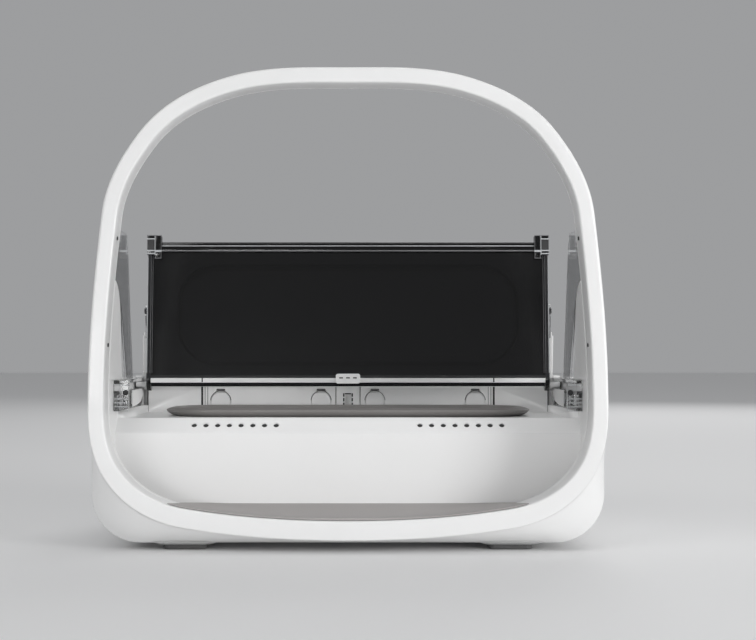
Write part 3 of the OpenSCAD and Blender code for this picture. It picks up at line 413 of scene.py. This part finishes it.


# Dark blocks of painted shade in the gaps beside the wall and the posts, and round the centre catch.
joints = [block((low, WALL_Y - out, WALL_LOW), (high, WALL_Y + deep, WALL_TOP + 0.0001))
          for (low, high), out, deep in ((END_GAP, GAP_OUT, 0.001), (POST_GAP, 0.0004, GAP_IN))]
catch = [block((CATCH_X, WALL_Y - GAP_OUT, DECK + up),
               (CATCH_X + DASH_T, WALL_Y + GAP_IN, DECK + up + DASH_H)) for up in CATCH_DASHES]
catch_ends = [block((-CATCH_W, WALL_Y - GAP_OUT, DECK + up), (CATCH_W, WALL_Y + GAP_IN, DECK + up + END_H))
              for up in CATCH_ENDS]
put(shell("rear_wall_gap_shade", pair(joints + catch) + catch_ends), dark_plastic, "dark_plastic", "base")
# Grey lines of painted shade: grooves beside the joints and round the tongues, and the slot on top of each
# tongue.
lines = [block((x, WALL_Y - LINE_OUT, WALL_LOW), (x + LINE_W, WALL_Y + LINE_IN, WALL_TOP)) for x in END_LINES]
lines += [block((CATCH_LINE, WALL_Y - LINE_OUT, DECK + 0.0010),
                (CATCH_LINE + CATCH_LINE_W, WALL_Y + LINE_IN, WALL_TOP))]
lines += [tongue_line(x) for x in TONGUES]
lines += [block((x - TONGUE_SLOT_SHADE_W, WALL_Y - GAP_OUT, TONGUE_Z + TONGUE_R + TONGUE_SLOT_SHADE_LOW),
                (x + TONGUE_SLOT_SHADE_W, WALL_Y + LINE_IN, TONGUE_Z + TONGUE_R + TONGUE_SLOT_SHADE_TOP), 0.0003)
          for x in TONGUES]
put(shell("rear_wall_shade_lines", pair(lines)), joint_shadow, "white_plastic", "base")

# Sound screen: a dark plastic plate fixed behind the bevel, with a stud that fills each round hole almost to
# the surface.
HOLES, HOLE_X, HOLE_PITCH, STUD_R, PLATE_W = 8, 0.046, 0.0075, 0.0017, 0.007
HOLE_AT, HOLE_TILT = (-0.049, 0.0755), math.degrees(math.atan2(9, 10))
stud_profile, plate_profile = [(0, -0.0034), (0, -0.0007), (0.0002, -0.0005)], [(0, -0.0038), (0, -0.0028)]
studs = [turned(2 * STUD_R, 2 * STUD_R, STUD_R, stud_profile, (HOLE_X + i * HOLE_PITCH, *HOLE_AT), "z",
                HOLE_TILT, 6) for i in range(HOLES)]
plate = turned(HOLES * HOLE_PITCH + 0.002, PLATE_W, 0.001, plate_profile,
               (HOLE_X + (HOLES - 1) * HOLE_PITCH / 2, *HOLE_AT), "z", HOLE_TILT)
put(shell("sound_screen_studs", pair(studs + [plate])), dark_plastic, "dark_plastic", "base", "sound_screen")

# Bowl: one warm grey plastic moulding that lifts out. Its rim slopes down to a thin rounded edge that is
# undercut, and the inside falls in one soft curve to the floor.
BOWL_LOW, BOWL_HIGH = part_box("bowl")
bowl_grey = moulded("bowl_plastic", (0.190, 0.181, 0.175), (0.225, 0.215, 0.208), 0.42, 900)
RIM, FLOOR = BOWL_HIGH.z, BOWL_LOW.z
bowl_profile = [(0.0190, FLOOR), (0.0158, FLOOR + 0.0003), (0.0149, FLOOR + 0.0012), (0.0070, RIM - 0.0068),
                (0.0066, RIM - 0.0058), (0.0052, RIM - 0.0056), (0.0036, RIM - 0.0051),
                (0.0018, RIM - 0.0041), (0.0006, RIM - 0.0030), (0.0001, RIM - 0.0022),
                (0.0000, RIM - 0.0018), (0.0004, RIM - 0.0014), (0.0014, RIM - 0.0010),
                (0.0030, RIM - 0.0005), (0.0046, RIM - 0.0001), (0.0058, RIM), (0.0068, RIM - 0.0002),
                (0.0076, RIM - 0.0009), (0.0084, RIM - 0.0026), (0.0120, RIM - 0.0110),
                (0.0158, RIM - 0.0200), (0.0180, FLOOR + 0.0046), (0.0205, FLOOR + 0.0026),
                (0.0240, FLOOR + 0.0018), (0.0280, FLOOR + 0.0016)]
BOWL_CORNER = 0.0335
bowl_size, bowl_middle = BOWL_HIGH - BOWL_LOW, (BOWL_LOW + BOWL_HIGH) / 2
bowl = shell("lift_out_bowl", [turned(bowl_size.x, bowl_size.y, BOWL_CORNER, bowl_profile,
                                      (bowl_middle.x, bowl_middle.y, 0), per_corner=28)], 50)
put(bowl, bowl_grey, "warm_grey_plastic", "bowl", "bowl")

# Bowl well: the white plastic tray that hangs in the deck by its flange. The flange lies almost flush, so
# that the bowl's undercut rim comes down to the deck.
FLANGE_TOP = 0.08025


def cut_down(piece, top):
    """Brings each point of a piece that is above a height down to it: z = min(z, top)."""
    places = np.empty(3 * len(piece.data.vertices), np.float32)
    piece.data.vertices.foreach_get("co", places)
    places[2::3] = np.minimum(places[2::3], np.float32(top))
    piece.data.vertices.foreach_set("co", places)
    piece.data.update()


cut_down(dressed("bowl_well", white_plastic), FLANGE_TOP)

# Front mat: one moulded sheet of soft grey rubber that lifts out of the mouth. It lies flat behind the hoop,
# is carried over the hoop's inner face, and its sides rise with the hoop to a straight edge.
MAT_LOW, MAT_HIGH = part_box("front_mat")
MAT_FRONT, MAT_REST, MAT_T, MAT_FOOT = FRONT + 0.0014, 0.0003, 0.0009, 0.0012
EDGE_Z, EDGE_FALL, EDGE_T, EDGE_IN, SIDE_IN = 0.0309, 0.1014, 0.0004, 0.0006, 0.005
mat_grey = moulded("mat_rubber", (0.345, 0.328, 0.322), (0.400, 0.382, 0.374), 0.68, 700, 0.00008)


def inner_floor():
    """Height of the hoop's inner edge in the mouth, as half widths and heights from the middle out."""
    ring, inward = hoop_outline(960)
    thick = HOOP_T + HOOP_FOOT_T * np.clip(inward[:, 1], 0, None) ** 2
    edge = ring + inward * thick[:, None]
    edge = edge[(edge[:, 0] > -1e-9) & (edge[:, 1] < 0.06)]
    return edge[np.argsort(edge[:, 0])].T


def soft_max(a, b, k):
    """The larger of a and b, with the change between them rounded over k."""
    return (a + b + np.sqrt((a - b) ** 2 + k * k)) / 2


def mat_sheet(rows=26, cols=161):
    """Top max(ramp(y), min(inner edge(x) + MAT_REST + MAT_T, edge line(y))), over a floor that lies flat
    behind the hoop and at inner edge(x) + MAT_REST on it."""
    half, height = inner_floor()
    deep = np.concatenate([[0, 0.0003, 0.001, 0.002], np.linspace(0.004, HOOP_BACK - MAT_FRONT + 0.0002, 8),
                           np.linspace(HOOP_BACK - MAT_FRONT + 0.0004, MAT_HIGH.y - MAT_FRONT, rows - 12)])
    y = (MAT_FRONT + deep)[:, None]
    line = EDGE_Z - EDGE_FALL * (y - FRONT)
    ramp_low = MAT_LOW.z + MAT_FOOT
    ramp = ramp_low + (MAT_HIGH.z - ramp_low) * (y - MAT_FRONT) / (MAT_HIGH.y - MAT_FRONT)
    behind = y > HOOP_BACK + MAT_REST
    reach = np.interp(line - MAT_REST - EDGE_IN, height, half)
    spill = np.where(behind, MAT_HIGH.x - SIDE_IN - reach, 0.00012)
    inner = reach * np.sin(np.linspace(-1, 1, cols) * math.pi / 2)
    outer = reach + spill * np.linspace(0, 1, 13)[1:]
    x = np.concatenate([-outer[:, ::-1], inner, outer], axis=1)
    under = np.interp(np.abs(x), half, height) + MAT_REST
    rise = -soft_max(-(under + MAT_T), -line, EDGE_T)
    top = soft_max(ramp, rise, 0.0007)
    floor = np.where(behind, MAT_LOW.z, np.minimum(under, top - EDGE_T))
    front = np.clip(deep / 0.001, 0, 1)[:, None]
    top = floor + (top - floor) * (0.35 + 0.65 * np.sqrt(1 - (1 - front) ** 2))
    upper, lower = np.dstack([x, y + 0 * x, top]), np.dstack([x, y + 0 * x, floor])
    return np.concatenate([upper, lower[:, ::-1]], axis=1), False


put(shell("rubber_mat", [mat_sheet()], 40), mat_grey, "soft_grey_rubber", "front_mat", "front_mat")

# Foot pads: four rounded pads of dark rubber, glued under the bulges near the corners. They carry the feeder
# and keep it from sliding.
foot_rubber = moulded("foot_rubber", (0.075, 0.075, 0.075), (0.105, 0.105, 0.105), 0.75, 900, 0.00006)
pad_profile = [(0.0012, 0.0), (0.0004, 0.0002), (0.0, 0.0008), (0.0, 0.0034)]
pads = [turned(PAD_L, PAD_W, 0.004, pad_profile, (FOOT_X, y, 0)) for y in FOOT_YS]
put(shell("foot_pads", pair(pads)), foot_rubber, "dark_rubber", "base", "rubber_feet")

# Lid panel: a smoky clear plastic sheet between two clear side flanges that take the pivots of the lift arms.
# A dark rubber seal is pressed into its underside.
PANEL_CUT = 0.1995


def glassy(name, colour, roughness, ior):
    """Clear moulded plastic: light bends through it, with faint flow waves and a slight haze that varies."""
    finish = Finish(name, colour, roughness, Transmission_Weight=1.0, IOR=ior)
    haze, flow = finish.noise(60, 3), finish.noise(35, 1)
    finish.set("Roughness", haze * 0.05 + (roughness - 0.02))
    finish.bump(flow, 0.08, 0.0002)
    return finish.material


smoke = glassy("smoke_plastic_polished", (0.005, 0.005, 0.0055), 0.16, 1.45)
smoke_side = glassy("smoke_plastic_sides", (0.06, 0.06, 0.063), 0.07, 1.45)
seal_rubber = moulded("dark_rubber", (0.016, 0.016, 0.016), (0.028, 0.028, 0.028), 0.7, 900, 0.00006)
cut_down(dressed("lid_panel", smoke, 0.0003), PANEL_CUT)
for node in ("left_lid_flange", "right_lid_flange"):
    dressed(node, smoke_side, 0.0003)
dressed("lid_seal", seal_rubber, 0.0004)

# Lid rear frame: one clear moulding, a bar along the lid's rear edge with a knuckle at each end that drops
# over the cross shaft. Painted highlights, thin pale strips, run along the polished edges of its parts and of
# the side flanges, and a darker window shows in each knuckle.
LIFT_TURN = next(j for j in frame["record"]["behaviour"]["joints"] if j["name"] == "lift_turn")
SHAFT_Y, SHAFT_Z = LIFT_TURN["pos_m"][1:]
LEAN, ARM = math.radians(5), 0.052
GUIDE_Y = SHAFT_Y - 2 * ARM * math.sin(LEAN)


def leaned(grids, lean, y):
    """Turns grids about X by an angle, and sets them at y and at the height of the shaft."""
    c, s = math.cos(lean), math.sin(lean)
    turn = np.array([[1, 0, 0], [0, c, -s], [0, s, c]])
    return [(points @ turn + [0, y, SHAFT_Z], round_u) for points, round_u in grids]


def on_lid(grids):
    """Carries grids from the lid's own frame, z up the open lid from the guide pins, to where it stands."""
    return leaned(grids, LEAN, GUIDE_Y)


def strip(p, q, width=0.0003, depth=0.0002):
    """A thin bar from p to q in the plane that they share across y."""
    low, high = np.minimum(p, q), np.maximum(p, q)
    grow = np.array([width / 2, depth / 2, width / 2])
    return block(low - grow, high + grow)


def edge_line(name, low, high):
    """A painted highlight along a polished edge: a pale line, uneven along its length."""
    return moulded(name, low, high, 0.45, 400, 0.00001, 0)


# Painted highlights, bright and dim: pale strips in place of light caught by the clear edges.
bright_edge = edge_line("painted_edge_highlights", (0.40, 0.41, 0.42), (0.52, 0.53, 0.54))
dim_edge = edge_line("painted_edge_highlights_dim", (0.13, 0.13, 0.135), (0.20, 0.20, 0.205))
smoke_pale = edge_line("smoke_plastic_pale", (0.028, 0.028, 0.029), (0.042, 0.042, 0.043))
FACE, FLANGE_IN, PANEL_BACK, TOUCH = -0.0055, 0.138, -0.003, 0.0001
BAR_LOW, BAR_TOP, BAR_FACE, BAR_END, BACK_LOW = 0.0926, 0.0996, FACE - 0.0020, 0.1306, 0.0965
KNUCKLE_IN, SPLIT, KNUCKLE_OUT, KNUCKLE_FACE = 0.131, 0.1355, 0.141, FACE - 0.0032
INNER_LOW, OUTER_LOW, KNUCKLE_TOP = 0.0880, 0.0904, 0.1046
INNER_EDGE, OUTER_EDGE, TOP_EDGE = 0.1312, 0.1408, 0.1043
bar = [block((-FLANGE_IN, BAR_FACE + TOUCH, BAR_LOW), (FLANGE_IN, FACE - TOUCH, BAR_TOP), 0.0006),
       block((-FLANGE_IN, FACE - 0.0014, BAR_TOP - 0.0006),
             (FLANGE_IN, PANEL_BACK + 0.0010, BAR_TOP + 0.0002), 0.0002),
       block((-FLANGE_IN, PANEL_BACK + TOUCH, BACK_LOW), (FLANGE_IN, PANEL_BACK + 0.0012, BAR_TOP), 0.0004)]
knuckle = [block((KNUCKLE_IN, KNUCKLE_FACE + TOUCH, INNER_LOW),
                 (SPLIT - TOUCH, FACE - TOUCH, KNUCKLE_TOP), 0.0005),
           block((SPLIT + TOUCH, KNUCKLE_FACE + TOUCH, OUTER_LOW),
                 (KNUCKLE_OUT, FACE - TOUCH, KNUCKLE_TOP), 0.0005),
           block((KNUCKLE_IN, KNUCKLE_FACE + 0.0003, BAR_TOP + 0.0004),
                 (KNUCKLE_OUT, PANEL_BACK + 0.0008, KNUCKLE_TOP - 0.0002), 0.0005)]
put(shell("lid_rear_frame", on_lid(bar + pair(knuckle))), smoke_side, "clear_plastic", "lid", "lid_rear_bar")

# Places of the painted highlight lines: x or (x, foot) of upright ones, (height, width) of level ones, and
# (end, height) of the level lines that close the knuckle's outline.
LINE_FOOT, FLANGE_DIM, FLANGE_BRIGHT, FLANGE_WIDE = 0.008, (0.1371, 0.1384), 0.1407, 0.0005
BAR_DIM, BAR_BRIGHT, BAR_WIDE = ((0.0992, 0.0003), (0.0937, 0.0008)), 0.0971, 0.0006
KNUCKLE_UPRIGHT = ((INNER_EDGE, 0.0882), (SPLIT - 0.0004, 0.0882), (OUTER_EDGE, 0.0906))
KNUCKLE_LEVEL = ((OUTER_EDGE, TOP_EDGE), (SPLIT, 0.0883))
SPLIT_FOOT, SPLIT_TOP, SPLIT_WIDE = 0.0908, 0.1040, 0.0006
OUTER_BRIGHT = ((0.1019, 0.0008), (0.0937, 0.0009), (0.0915, 0.0008))
INNER_BRIGHT, INNER_WIDE = 0.0933, 0.0014
WINDOW_LOW, WINDOW_TOP = 0.0946, 0.1012
# Dim painted highlights along the flanges, the bar and the knuckles' outlines.
dim_lines = [strip((x, FACE, LINE_FOOT), (x, FACE, OUTER_LOW)) for x in FLANGE_DIM]
dim_lines += [strip((0, BAR_FACE, z), (BAR_END, BAR_FACE, z), wide) for z, wide in BAR_DIM]
dim_lines += [strip((x, KNUCKLE_FACE, low), (x, KNUCKLE_FACE, TOP_EDGE), 0.0004)
              for x, low in KNUCKLE_UPRIGHT]
dim_lines += [strip((INNER_EDGE, KNUCKLE_FACE, z), (x, KNUCKLE_FACE, z), 0.0005) for x, z in KNUCKLE_LEVEL]
put(shell("lid_dim_highlights", on_lid(pair(dim_lines))), dim_edge, "clear_plastic", "lid")
# Bright painted highlights along the flange edges, the bar and the knuckles.
bright_lines = [strip((FLANGE_BRIGHT, FACE, LINE_FOOT), (FLANGE_BRIGHT, FACE, OUTER_LOW), FLANGE_WIDE),
                strip((0, BAR_FACE, BAR_BRIGHT), (BAR_END, BAR_FACE, BAR_BRIGHT), BAR_WIDE),
                strip((SPLIT, KNUCKLE_FACE, SPLIT_FOOT), (SPLIT, KNUCKLE_FACE, SPLIT_TOP), SPLIT_WIDE)]
bright_lines += [strip((SPLIT + 0.0004, KNUCKLE_FACE, z), (OUTER_EDGE, KNUCKLE_FACE, z), wide)
                 for z, wide in OUTER_BRIGHT]
bright_lines += [strip((INNER_EDGE + 0.0003, KNUCKLE_FACE, INNER_BRIGHT),
                       (SPLIT - 0.0006, KNUCKLE_FACE, INNER_BRIGHT), INNER_WIDE)]
put(shell("lid_bright_highlights", on_lid(pair(bright_lines))), bright_edge, "clear_plastic", "lid")
window = [block((SPLIT + 0.0006, KNUCKLE_FACE - TOUCH, WINDOW_LOW),
                (OUTER_EDGE - 0.0003, KNUCKLE_FACE + TOUCH, WINDOW_TOP))]
put(shell("knuckle_windows", on_lid(pair(window))), smoke_pale, "clear_plastic", "lid")

# Guide rollers: white plastic sleeves on the guide pins at the lid's lower corners, pushed on from the ends.
# They run in the slots of the side rails.
GUIDE_R, GUIDE_IN, GUIDE_OUT = 0.00205, 0.1412, 0.1488
sleeve_profile = [(0.0002, GUIDE_IN), (0, GUIDE_IN + 0.0002), (0, GUIDE_OUT - 0.0002), (0.0002, GUIDE_OUT)]
roller = turned(2 * GUIDE_R, 2 * GUIDE_R, GUIDE_R, sleeve_profile, (0, 0, 0), "x", 0, 10)
put(shell("guide_rollers", on_lid(pair([roller]))), white_plastic, "white_plastic", "lid")

# Lid front bar: a white plastic bar clipped over the panel's front edge, with a grip tab in the middle. A
# dark lip runs along its top and a white one along its foot, and painted shade darkens the slots in the tab
# and its joints.
dressed("lid_front_bar", white_plastic, 0.0003)
LIP_END, TAB_Y, TAB_SLOTS, SLOT_W = 0.1378, -0.0087, (-0.0062, -0.0014, 0.0034), 0.0028
top_lip = block((-LIP_END, FACE - 0.0016, 0.0041), (LIP_END, FACE - 0.0014, 0.0061))
put(shell("front_bar_lip", on_lid([top_lip])), dark_plastic, "dark_plastic", "lid")
foot_lip = block((-LIP_END, FACE - 0.0013, 0.0009), (LIP_END, FACE + 0.0008, 0.0017))
put(shell("front_bar_foot", on_lid([foot_lip])), white_plastic, "white_plastic", "lid")
# Dark blocks of painted shade in the tab's slots and at the bar's joints.
tab_slots = [block((x, TAB_Y, 0.0036), (x + SLOT_W, TAB_Y + 0.0004, 0.0045)) for x in TAB_SLOTS]
bar_joints = pair([block((0.1013, -0.0070, 0.0012), (0.1022, -0.0064, 0.0061))])
put(shell("front_bar_gap_shade", on_lid(tab_slots + bar_joints)), dark_plastic, "dark_plastic", "lid")

# Side rails and screens: clear plastic mouldings that stand on the ledges beside the bowl. The rails guide
# the lid's pins in slots with white liners, and each ends in a ribbed stop block with a dark pin.
clear = glassy("clear_plastic_polished", (0.975, 0.98, 0.985), 0.05, 1.3)
for node in ("left_rail", "right_rail", "left_shield", "right_shield"):
    dressed(node, clear, 0.0003)


def side_sheet(outline, x, thickness):
    """A thin upright sheet across x, cut to an outline of (y, z)."""
    outline = np.array(outline, float)
    rings = [np.stack([np.full(len(outline), v), outline[:, 0], outline[:, 1]], axis=1)
             for v in (x, x + thickness)]
    return np.array(rings), False


LINER_X, LINER_T = 0.14458, 0.00025
lower = [(-0.0050, 0.0970), (0.0440, 0.0970), (0.0463, 0.0958), (0.0460, 0.0930), (0.0400, 0.0900),
         (0.0331, 0.0880), (0.0220, 0.0868), (0.0100, 0.0862), (-0.0050, 0.0858)]
upper = [(0.0000, 0.1025), (0.0040, 0.1036), (0.0120, 0.1041), (0.0234, 0.1043), (0.0463, 0.1043),
         (0.0463, 0.1025)]
put(shell("rail_liners", pair([side_sheet(lower, LINER_X, LINER_T), side_sheet(upper, LINER_X, LINER_T)])),
    white_plastic, "white_plastic", "base")
STOP_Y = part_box("right_rail")[0].y
STOP_IN, STOP_OUT, STOP_RIBS, STOP_RIB_T = 0.1388, 0.1478, (0.0875, 0.0900, 0.0925, 0.1012), 0.0006
# The stop blocks' ribs are thin pale strips, coloured with painted highlights along their edges.
stop_rib_highlights = [block((STOP_IN, STOP_Y - 0.0004, z), (STOP_OUT, STOP_Y + 0.0002, z + STOP_RIB_T))
             for z in STOP_RIBS]
put(shell("stop_rib_highlights", pair(stop_rib_highlights)), bright_edge, "clear_plastic", "base")
STOP_PIN_R, STOP_PIN_X, STOP_PIN_Z = 0.0018, 0.1404, 0.0967
stop_pin_profile = [(0.0003, -0.0004), (0, -0.0002), (0, 0.0006)]
stop_pin = turned(2 * STOP_PIN_R, 2 * STOP_PIN_R, STOP_PIN_R, stop_pin_profile,
                  (STOP_PIN_X, STOP_Y, STOP_PIN_Z), "y", 0, 8)
put(shell("stop_pins", pair([stop_pin])), dark_plastic, "dark_plastic", "base")

# Lift arms: clear plastic links fixed on the ends of the cross shaft, which raise the lid by its middle. Each
# has a white cover, whose slanted front edge and sleeve round the shaft are made here.
ARM_IN, ARM_OUT, HUB, SLEEVE_T = 0.14115, 0.1444, 0.0034, 0.0003
EDGE_LOW, EDGE_TOP, EDGE_SLANT = 0.0020, 0.0352, 0.9
for node in ("left_link", "right_link"):
    dressed(node, clear, 0.0003)


def on_arm(grids):
    """Carries grids from a lift arm's own frame, z up the raised arm from the shaft, to where it stands."""
    return leaned(grids, -LEAN, SHAFT_Y)


edge = block((ARM_IN, -HUB - 0.0009, EDGE_LOW), (ARM_OUT, -HUB - 0.0001, EDGE_TOP), 0.0004)
edge[0][:, :, 2] += (edge[0][:, :, 2] > 0.02) * (edge[0][:, :, 0] - ARM_OUT) * EDGE_SLANT
arm_profile = [(SLEEVE_T, ARM_IN), (0, ARM_IN + SLEEVE_T), (0, ARM_OUT - SLEEVE_T), (SLEEVE_T, ARM_OUT)]
sleeve = turned(2 * HUB + 0.0006, 2 * HUB + 0.0006, HUB + SLEEVE_T, arm_profile, (0, 0, 0), "x", 0, 10)
put(shell("arm_front_edges", on_arm(pair([edge, sleeve]))), white_plastic, "white_plastic", "lift")

# Workings: the blackened steel cross shaft, brass gears, motor, copper coil, cells, contacts, screws, board
# and the dark windows of the sensors, fixed in the base and the hoop. Each keeps its CAD form, in its own
# metal, film, resin or plastic.
workings = {
    "dark_steel": moulded("dark_steel", (0.02, 0.02, 0.022), (0.035, 0.035, 0.037), 0.35, Metallic=1.0),
    "steel": moulded("plated_steel", (0.5, 0.5, 0.52), (0.62, 0.62, 0.64), 0.3, Metallic=1.0),
    "copper_wire": moulded("enamelled_copper", (0.5, 0.2, 0.08), (0.65, 0.28, 0.12), 0.3, Metallic=1.0),
    "gear_brass": moulded("gear_brass", (0.6, 0.43, 0.16), (0.7, 0.5, 0.2), 0.3, Metallic=1.0),
    "contact_metal": moulded("contact_metal", (0.55, 0.53, 0.48), (0.65, 0.62, 0.56), 0.3, Metallic=1.0),
    "motor_metal": moulded("motor_metal", (0.2, 0.2, 0.21), (0.26, 0.26, 0.27), 0.4, Metallic=0.6),
    "cell_wrap": moulded("cell_wrap", (0.02, 0.05, 0.1), (0.03, 0.07, 0.14), 0.3),
    "board_green": moulded("board_green", (0.01, 0.08, 0.03), (0.02, 0.1, 0.04), 0.35),
    "dark_plastic": dark_plastic,
}
for node in ("cross_shaft", "motor_rotor_shaft", "base_screws", "hoop_screws", "antenna_coil", "shaft_gear",
             "motor_gear", "battery_contacts", "gear_motor", "left_cells", "right_cells", "circuit_board",
             "hoop_sensors"):
    dressed(node, workings[slot_of[node]])

# Rear controls: three round push buttons of grey plastic with softly domed caps, a small green lens above
# them, and a low raised rim moulded round the group.
button_grey = moulded("button_plastic", (0.44, 0.45, 0.46), (0.49, 0.50, 0.51), 0.45)
BUTTON_R, BUTTON_Z, BUTTON_PITCH, STEM_R = 0.006, 0.062, 0.032, 0.002
CAP_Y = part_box("open_button")[1].y
cap_profile = [(-0.0016, CAP_Y - 0.0058), (-0.0016, CAP_Y - 0.0043), (0, CAP_Y - 0.0042), (0, CAP_Y - 0.0009),
               (0.0002, CAP_Y - 0.0005), (0.0007, CAP_Y - 0.0002), (0.0016, CAP_Y - 0.00005), (0.0024, CAP_Y),
               (0.0030, CAP_Y - 0.0002), (0.0045, CAP_Y - 0.0004), (0.0057, CAP_Y - 0.00045)]
for i, name in enumerate(("add_button", "open_button", "learn_button")):
    place = ((i - 1) * BUTTON_PITCH, 0, BUTTON_Z)
    stem_profile = [(0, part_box(name)[0].y), (0, CAP_Y - 0.0057)]
    cap = turned(2 * BUTTON_R, 2 * BUTTON_R, BUTTON_R, cap_profile, place, "y")
    stem = turned(2 * STEM_R, 2 * STEM_R, STEM_R, stem_profile, place, "y", 0, 8)
    put(shell(name + "_cap", [cap, stem]), button_grey, "button_grey", name, name)
RIM_W, RIM_H, RIM_R, RIM_UP = 3 * BUTTON_PITCH, 0.036, 0.010, 0.005
rim_section = [(0.0000, -0.0003), (0.0000, 0.0002), (0.0002, 0.0004), (0.0008, 0.0004), (0.0010, 0.0002),
               (0.0010, -0.0003)]
REAR_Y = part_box("base_shell")[1].y
rings = []
for inset, lift in rim_section:
    ring = round_rect(RIM_W - 2 * inset, RIM_H - 2 * inset, RIM_R - inset, 12)
    depth, height = np.full(len(ring), REAR_Y + lift), ring[:, 1] + BUTTON_Z + RIM_UP
    rings.append(np.stack([ring[:, 0], depth, height], axis=1))
put(shell("control_rim", [(np.array(rings), True)]), white_plastic, "white_plastic", "base")
lens = moulded("light_lens", (0.06, 0.30, 0.09), (0.09, 0.42, 0.13), 0.2, Coat_Weight=0.5)
dressed("status_light", lens, 0.0003)

# Battery doors: two white plastic plates with rounded corners under the base. Each turns on end pins and has
# a catch and a row of grip ribs along its front edge.
DOOR_T, DOOR_R, DOOR_PIN_R, PIN_OUT, PIN_BACK = 0.0025, 0.0022, 0.0008, 0.0016, 0.0012
CATCH_HALF, GRIP_HALF, GRIP_PITCH, GRIPS = 0.006, 0.012, 0.0022, 5
for node in ("left_battery_door", "right_battery_door"):
    low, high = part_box(node)
    middle, under = (low + high) / 2, low.z
    long, wide = high.x - low.x - 2 * PIN_OUT, high.y - low.y
    plate_profile = [(0.0003, under), (0, under + 0.0003), (0, under + DOOR_T - 0.0003),
                     (0.0003, under + DOOR_T)]
    plate = turned(long, wide, DOOR_R, plate_profile, (middle.x, middle.y, 0))
    pin_profile = [(0.0002, low.x), (0, low.x + 0.0002), (0, high.x - 0.0002), (0.0002, high.x)]
    pins = turned(2 * DOOR_PIN_R, 2 * DOOR_PIN_R, DOOR_PIN_R, pin_profile,
                  (0, high.y - PIN_BACK, under + DOOR_T / 2), "x", 0, 6)
    catch = block((middle.x - CATCH_HALF, low.y + 0.0006, under + DOOR_T - 0.0001),
                  (middle.x + CATCH_HALF, low.y + 0.002, high.z), 0.0003)
    grips = [block((middle.x - GRIP_HALF, low.y + 0.0040 + GRIP_PITCH * k, under - 0.0004),
                   (middle.x + GRIP_HALF, low.y + 0.0049 + GRIP_PITCH * k, under + 0.0002), 0.0002)
             for k in range(GRIPS)]
    door = shell(node + "_plate", [plate, pins, catch] + grips)
    put(door, white_plastic, "white_plastic", body_of[node], node)

# Studio: a plain pale floor, a pale background and soft lights, with the camera level in front of the hoop.
floor = bpy.data.objects.new("floor", bpy.data.meshes.new("floor"))
floor.data.from_pydata([(-6, -3, 0), (6, -3, 0), (6, 9, 0), (-6, 9, 0)], [], [(0, 1, 2, 3)])
bpy.context.scene.collection.objects.link(floor)
floor_finish = Finish("pale_floor", (0.84, 0.84, 0.84), 0.7)
floor.data.materials.append(floor_finish.material)

world = bpy.data.worlds.new("pale_room")
bpy.context.scene.world = world
world.use_nodes = True
world.node_tree.nodes["Background"].inputs["Color"].default_value = (0.99, 1.0, 1.02, 1)
world.node_tree.nodes["Background"].inputs["Strength"].default_value = 0.34


def soft_light(name, place, aim, size, power, spread=180):
    """A soft box at a place, turned to its aim, with its size and spread."""
    lamp = bpy.data.lights.new(name, "AREA")
    lamp.spread = math.radians(spread)
    lamp.shape, lamp.size, lamp.size_y, lamp.energy = "RECTANGLE", size[0], size[1], power
    light = bpy.data.objects.new(name, lamp)
    light.location = place
    light.rotation_euler = (Vector(aim) - light.location).to_track_quat("-Z", "Y").to_euler()
    bpy.context.scene.collection.objects.link(light)


soft_light("key", (1.6, -1.25, 0.42), (0, 0, 0.12), (0.8, 0.7), 22)
soft_light("left", (-1.3, -1.5, 1.35), (0, 0, 0.15), (1.2, 0.9), 8)
soft_light("low", (-0.7, -2.2, 0.11), (0, 0, 0.10), (1.2, 0.16), 0.6, 50)
soft_light("rear", (0.7, 2.3, 1.2), (0, 0, 0.12), (1.4, 1.0), 10)
soft_light("top", (0, 0.2, 2.2), (0, 0, 0.1), (1.8, 1.8), 8)

PICTURE_W, FOCAL, SHIFT_X, SHIFT_Y, SENSOR_W = 756, 1460, 30, 35, 36
camera = bpy.data.objects.new("camera", bpy.data.cameras.new("camera"))
camera.location = (0, -0.984, 0.1205)
camera.rotation_euler = (math.radians(90), 0, 0)
camera.data.lens = FOCAL / PICTURE_W * SENSOR_W
camera.data.shift_x, camera.data.shift_y = SHIFT_X / PICTURE_W, SHIFT_Y / PICTURE_W
bpy.context.scene.collection.objects.link(camera)
bpy.context.scene.camera = camera
bpy.context.scene.view_settings.view_transform = "Standard"
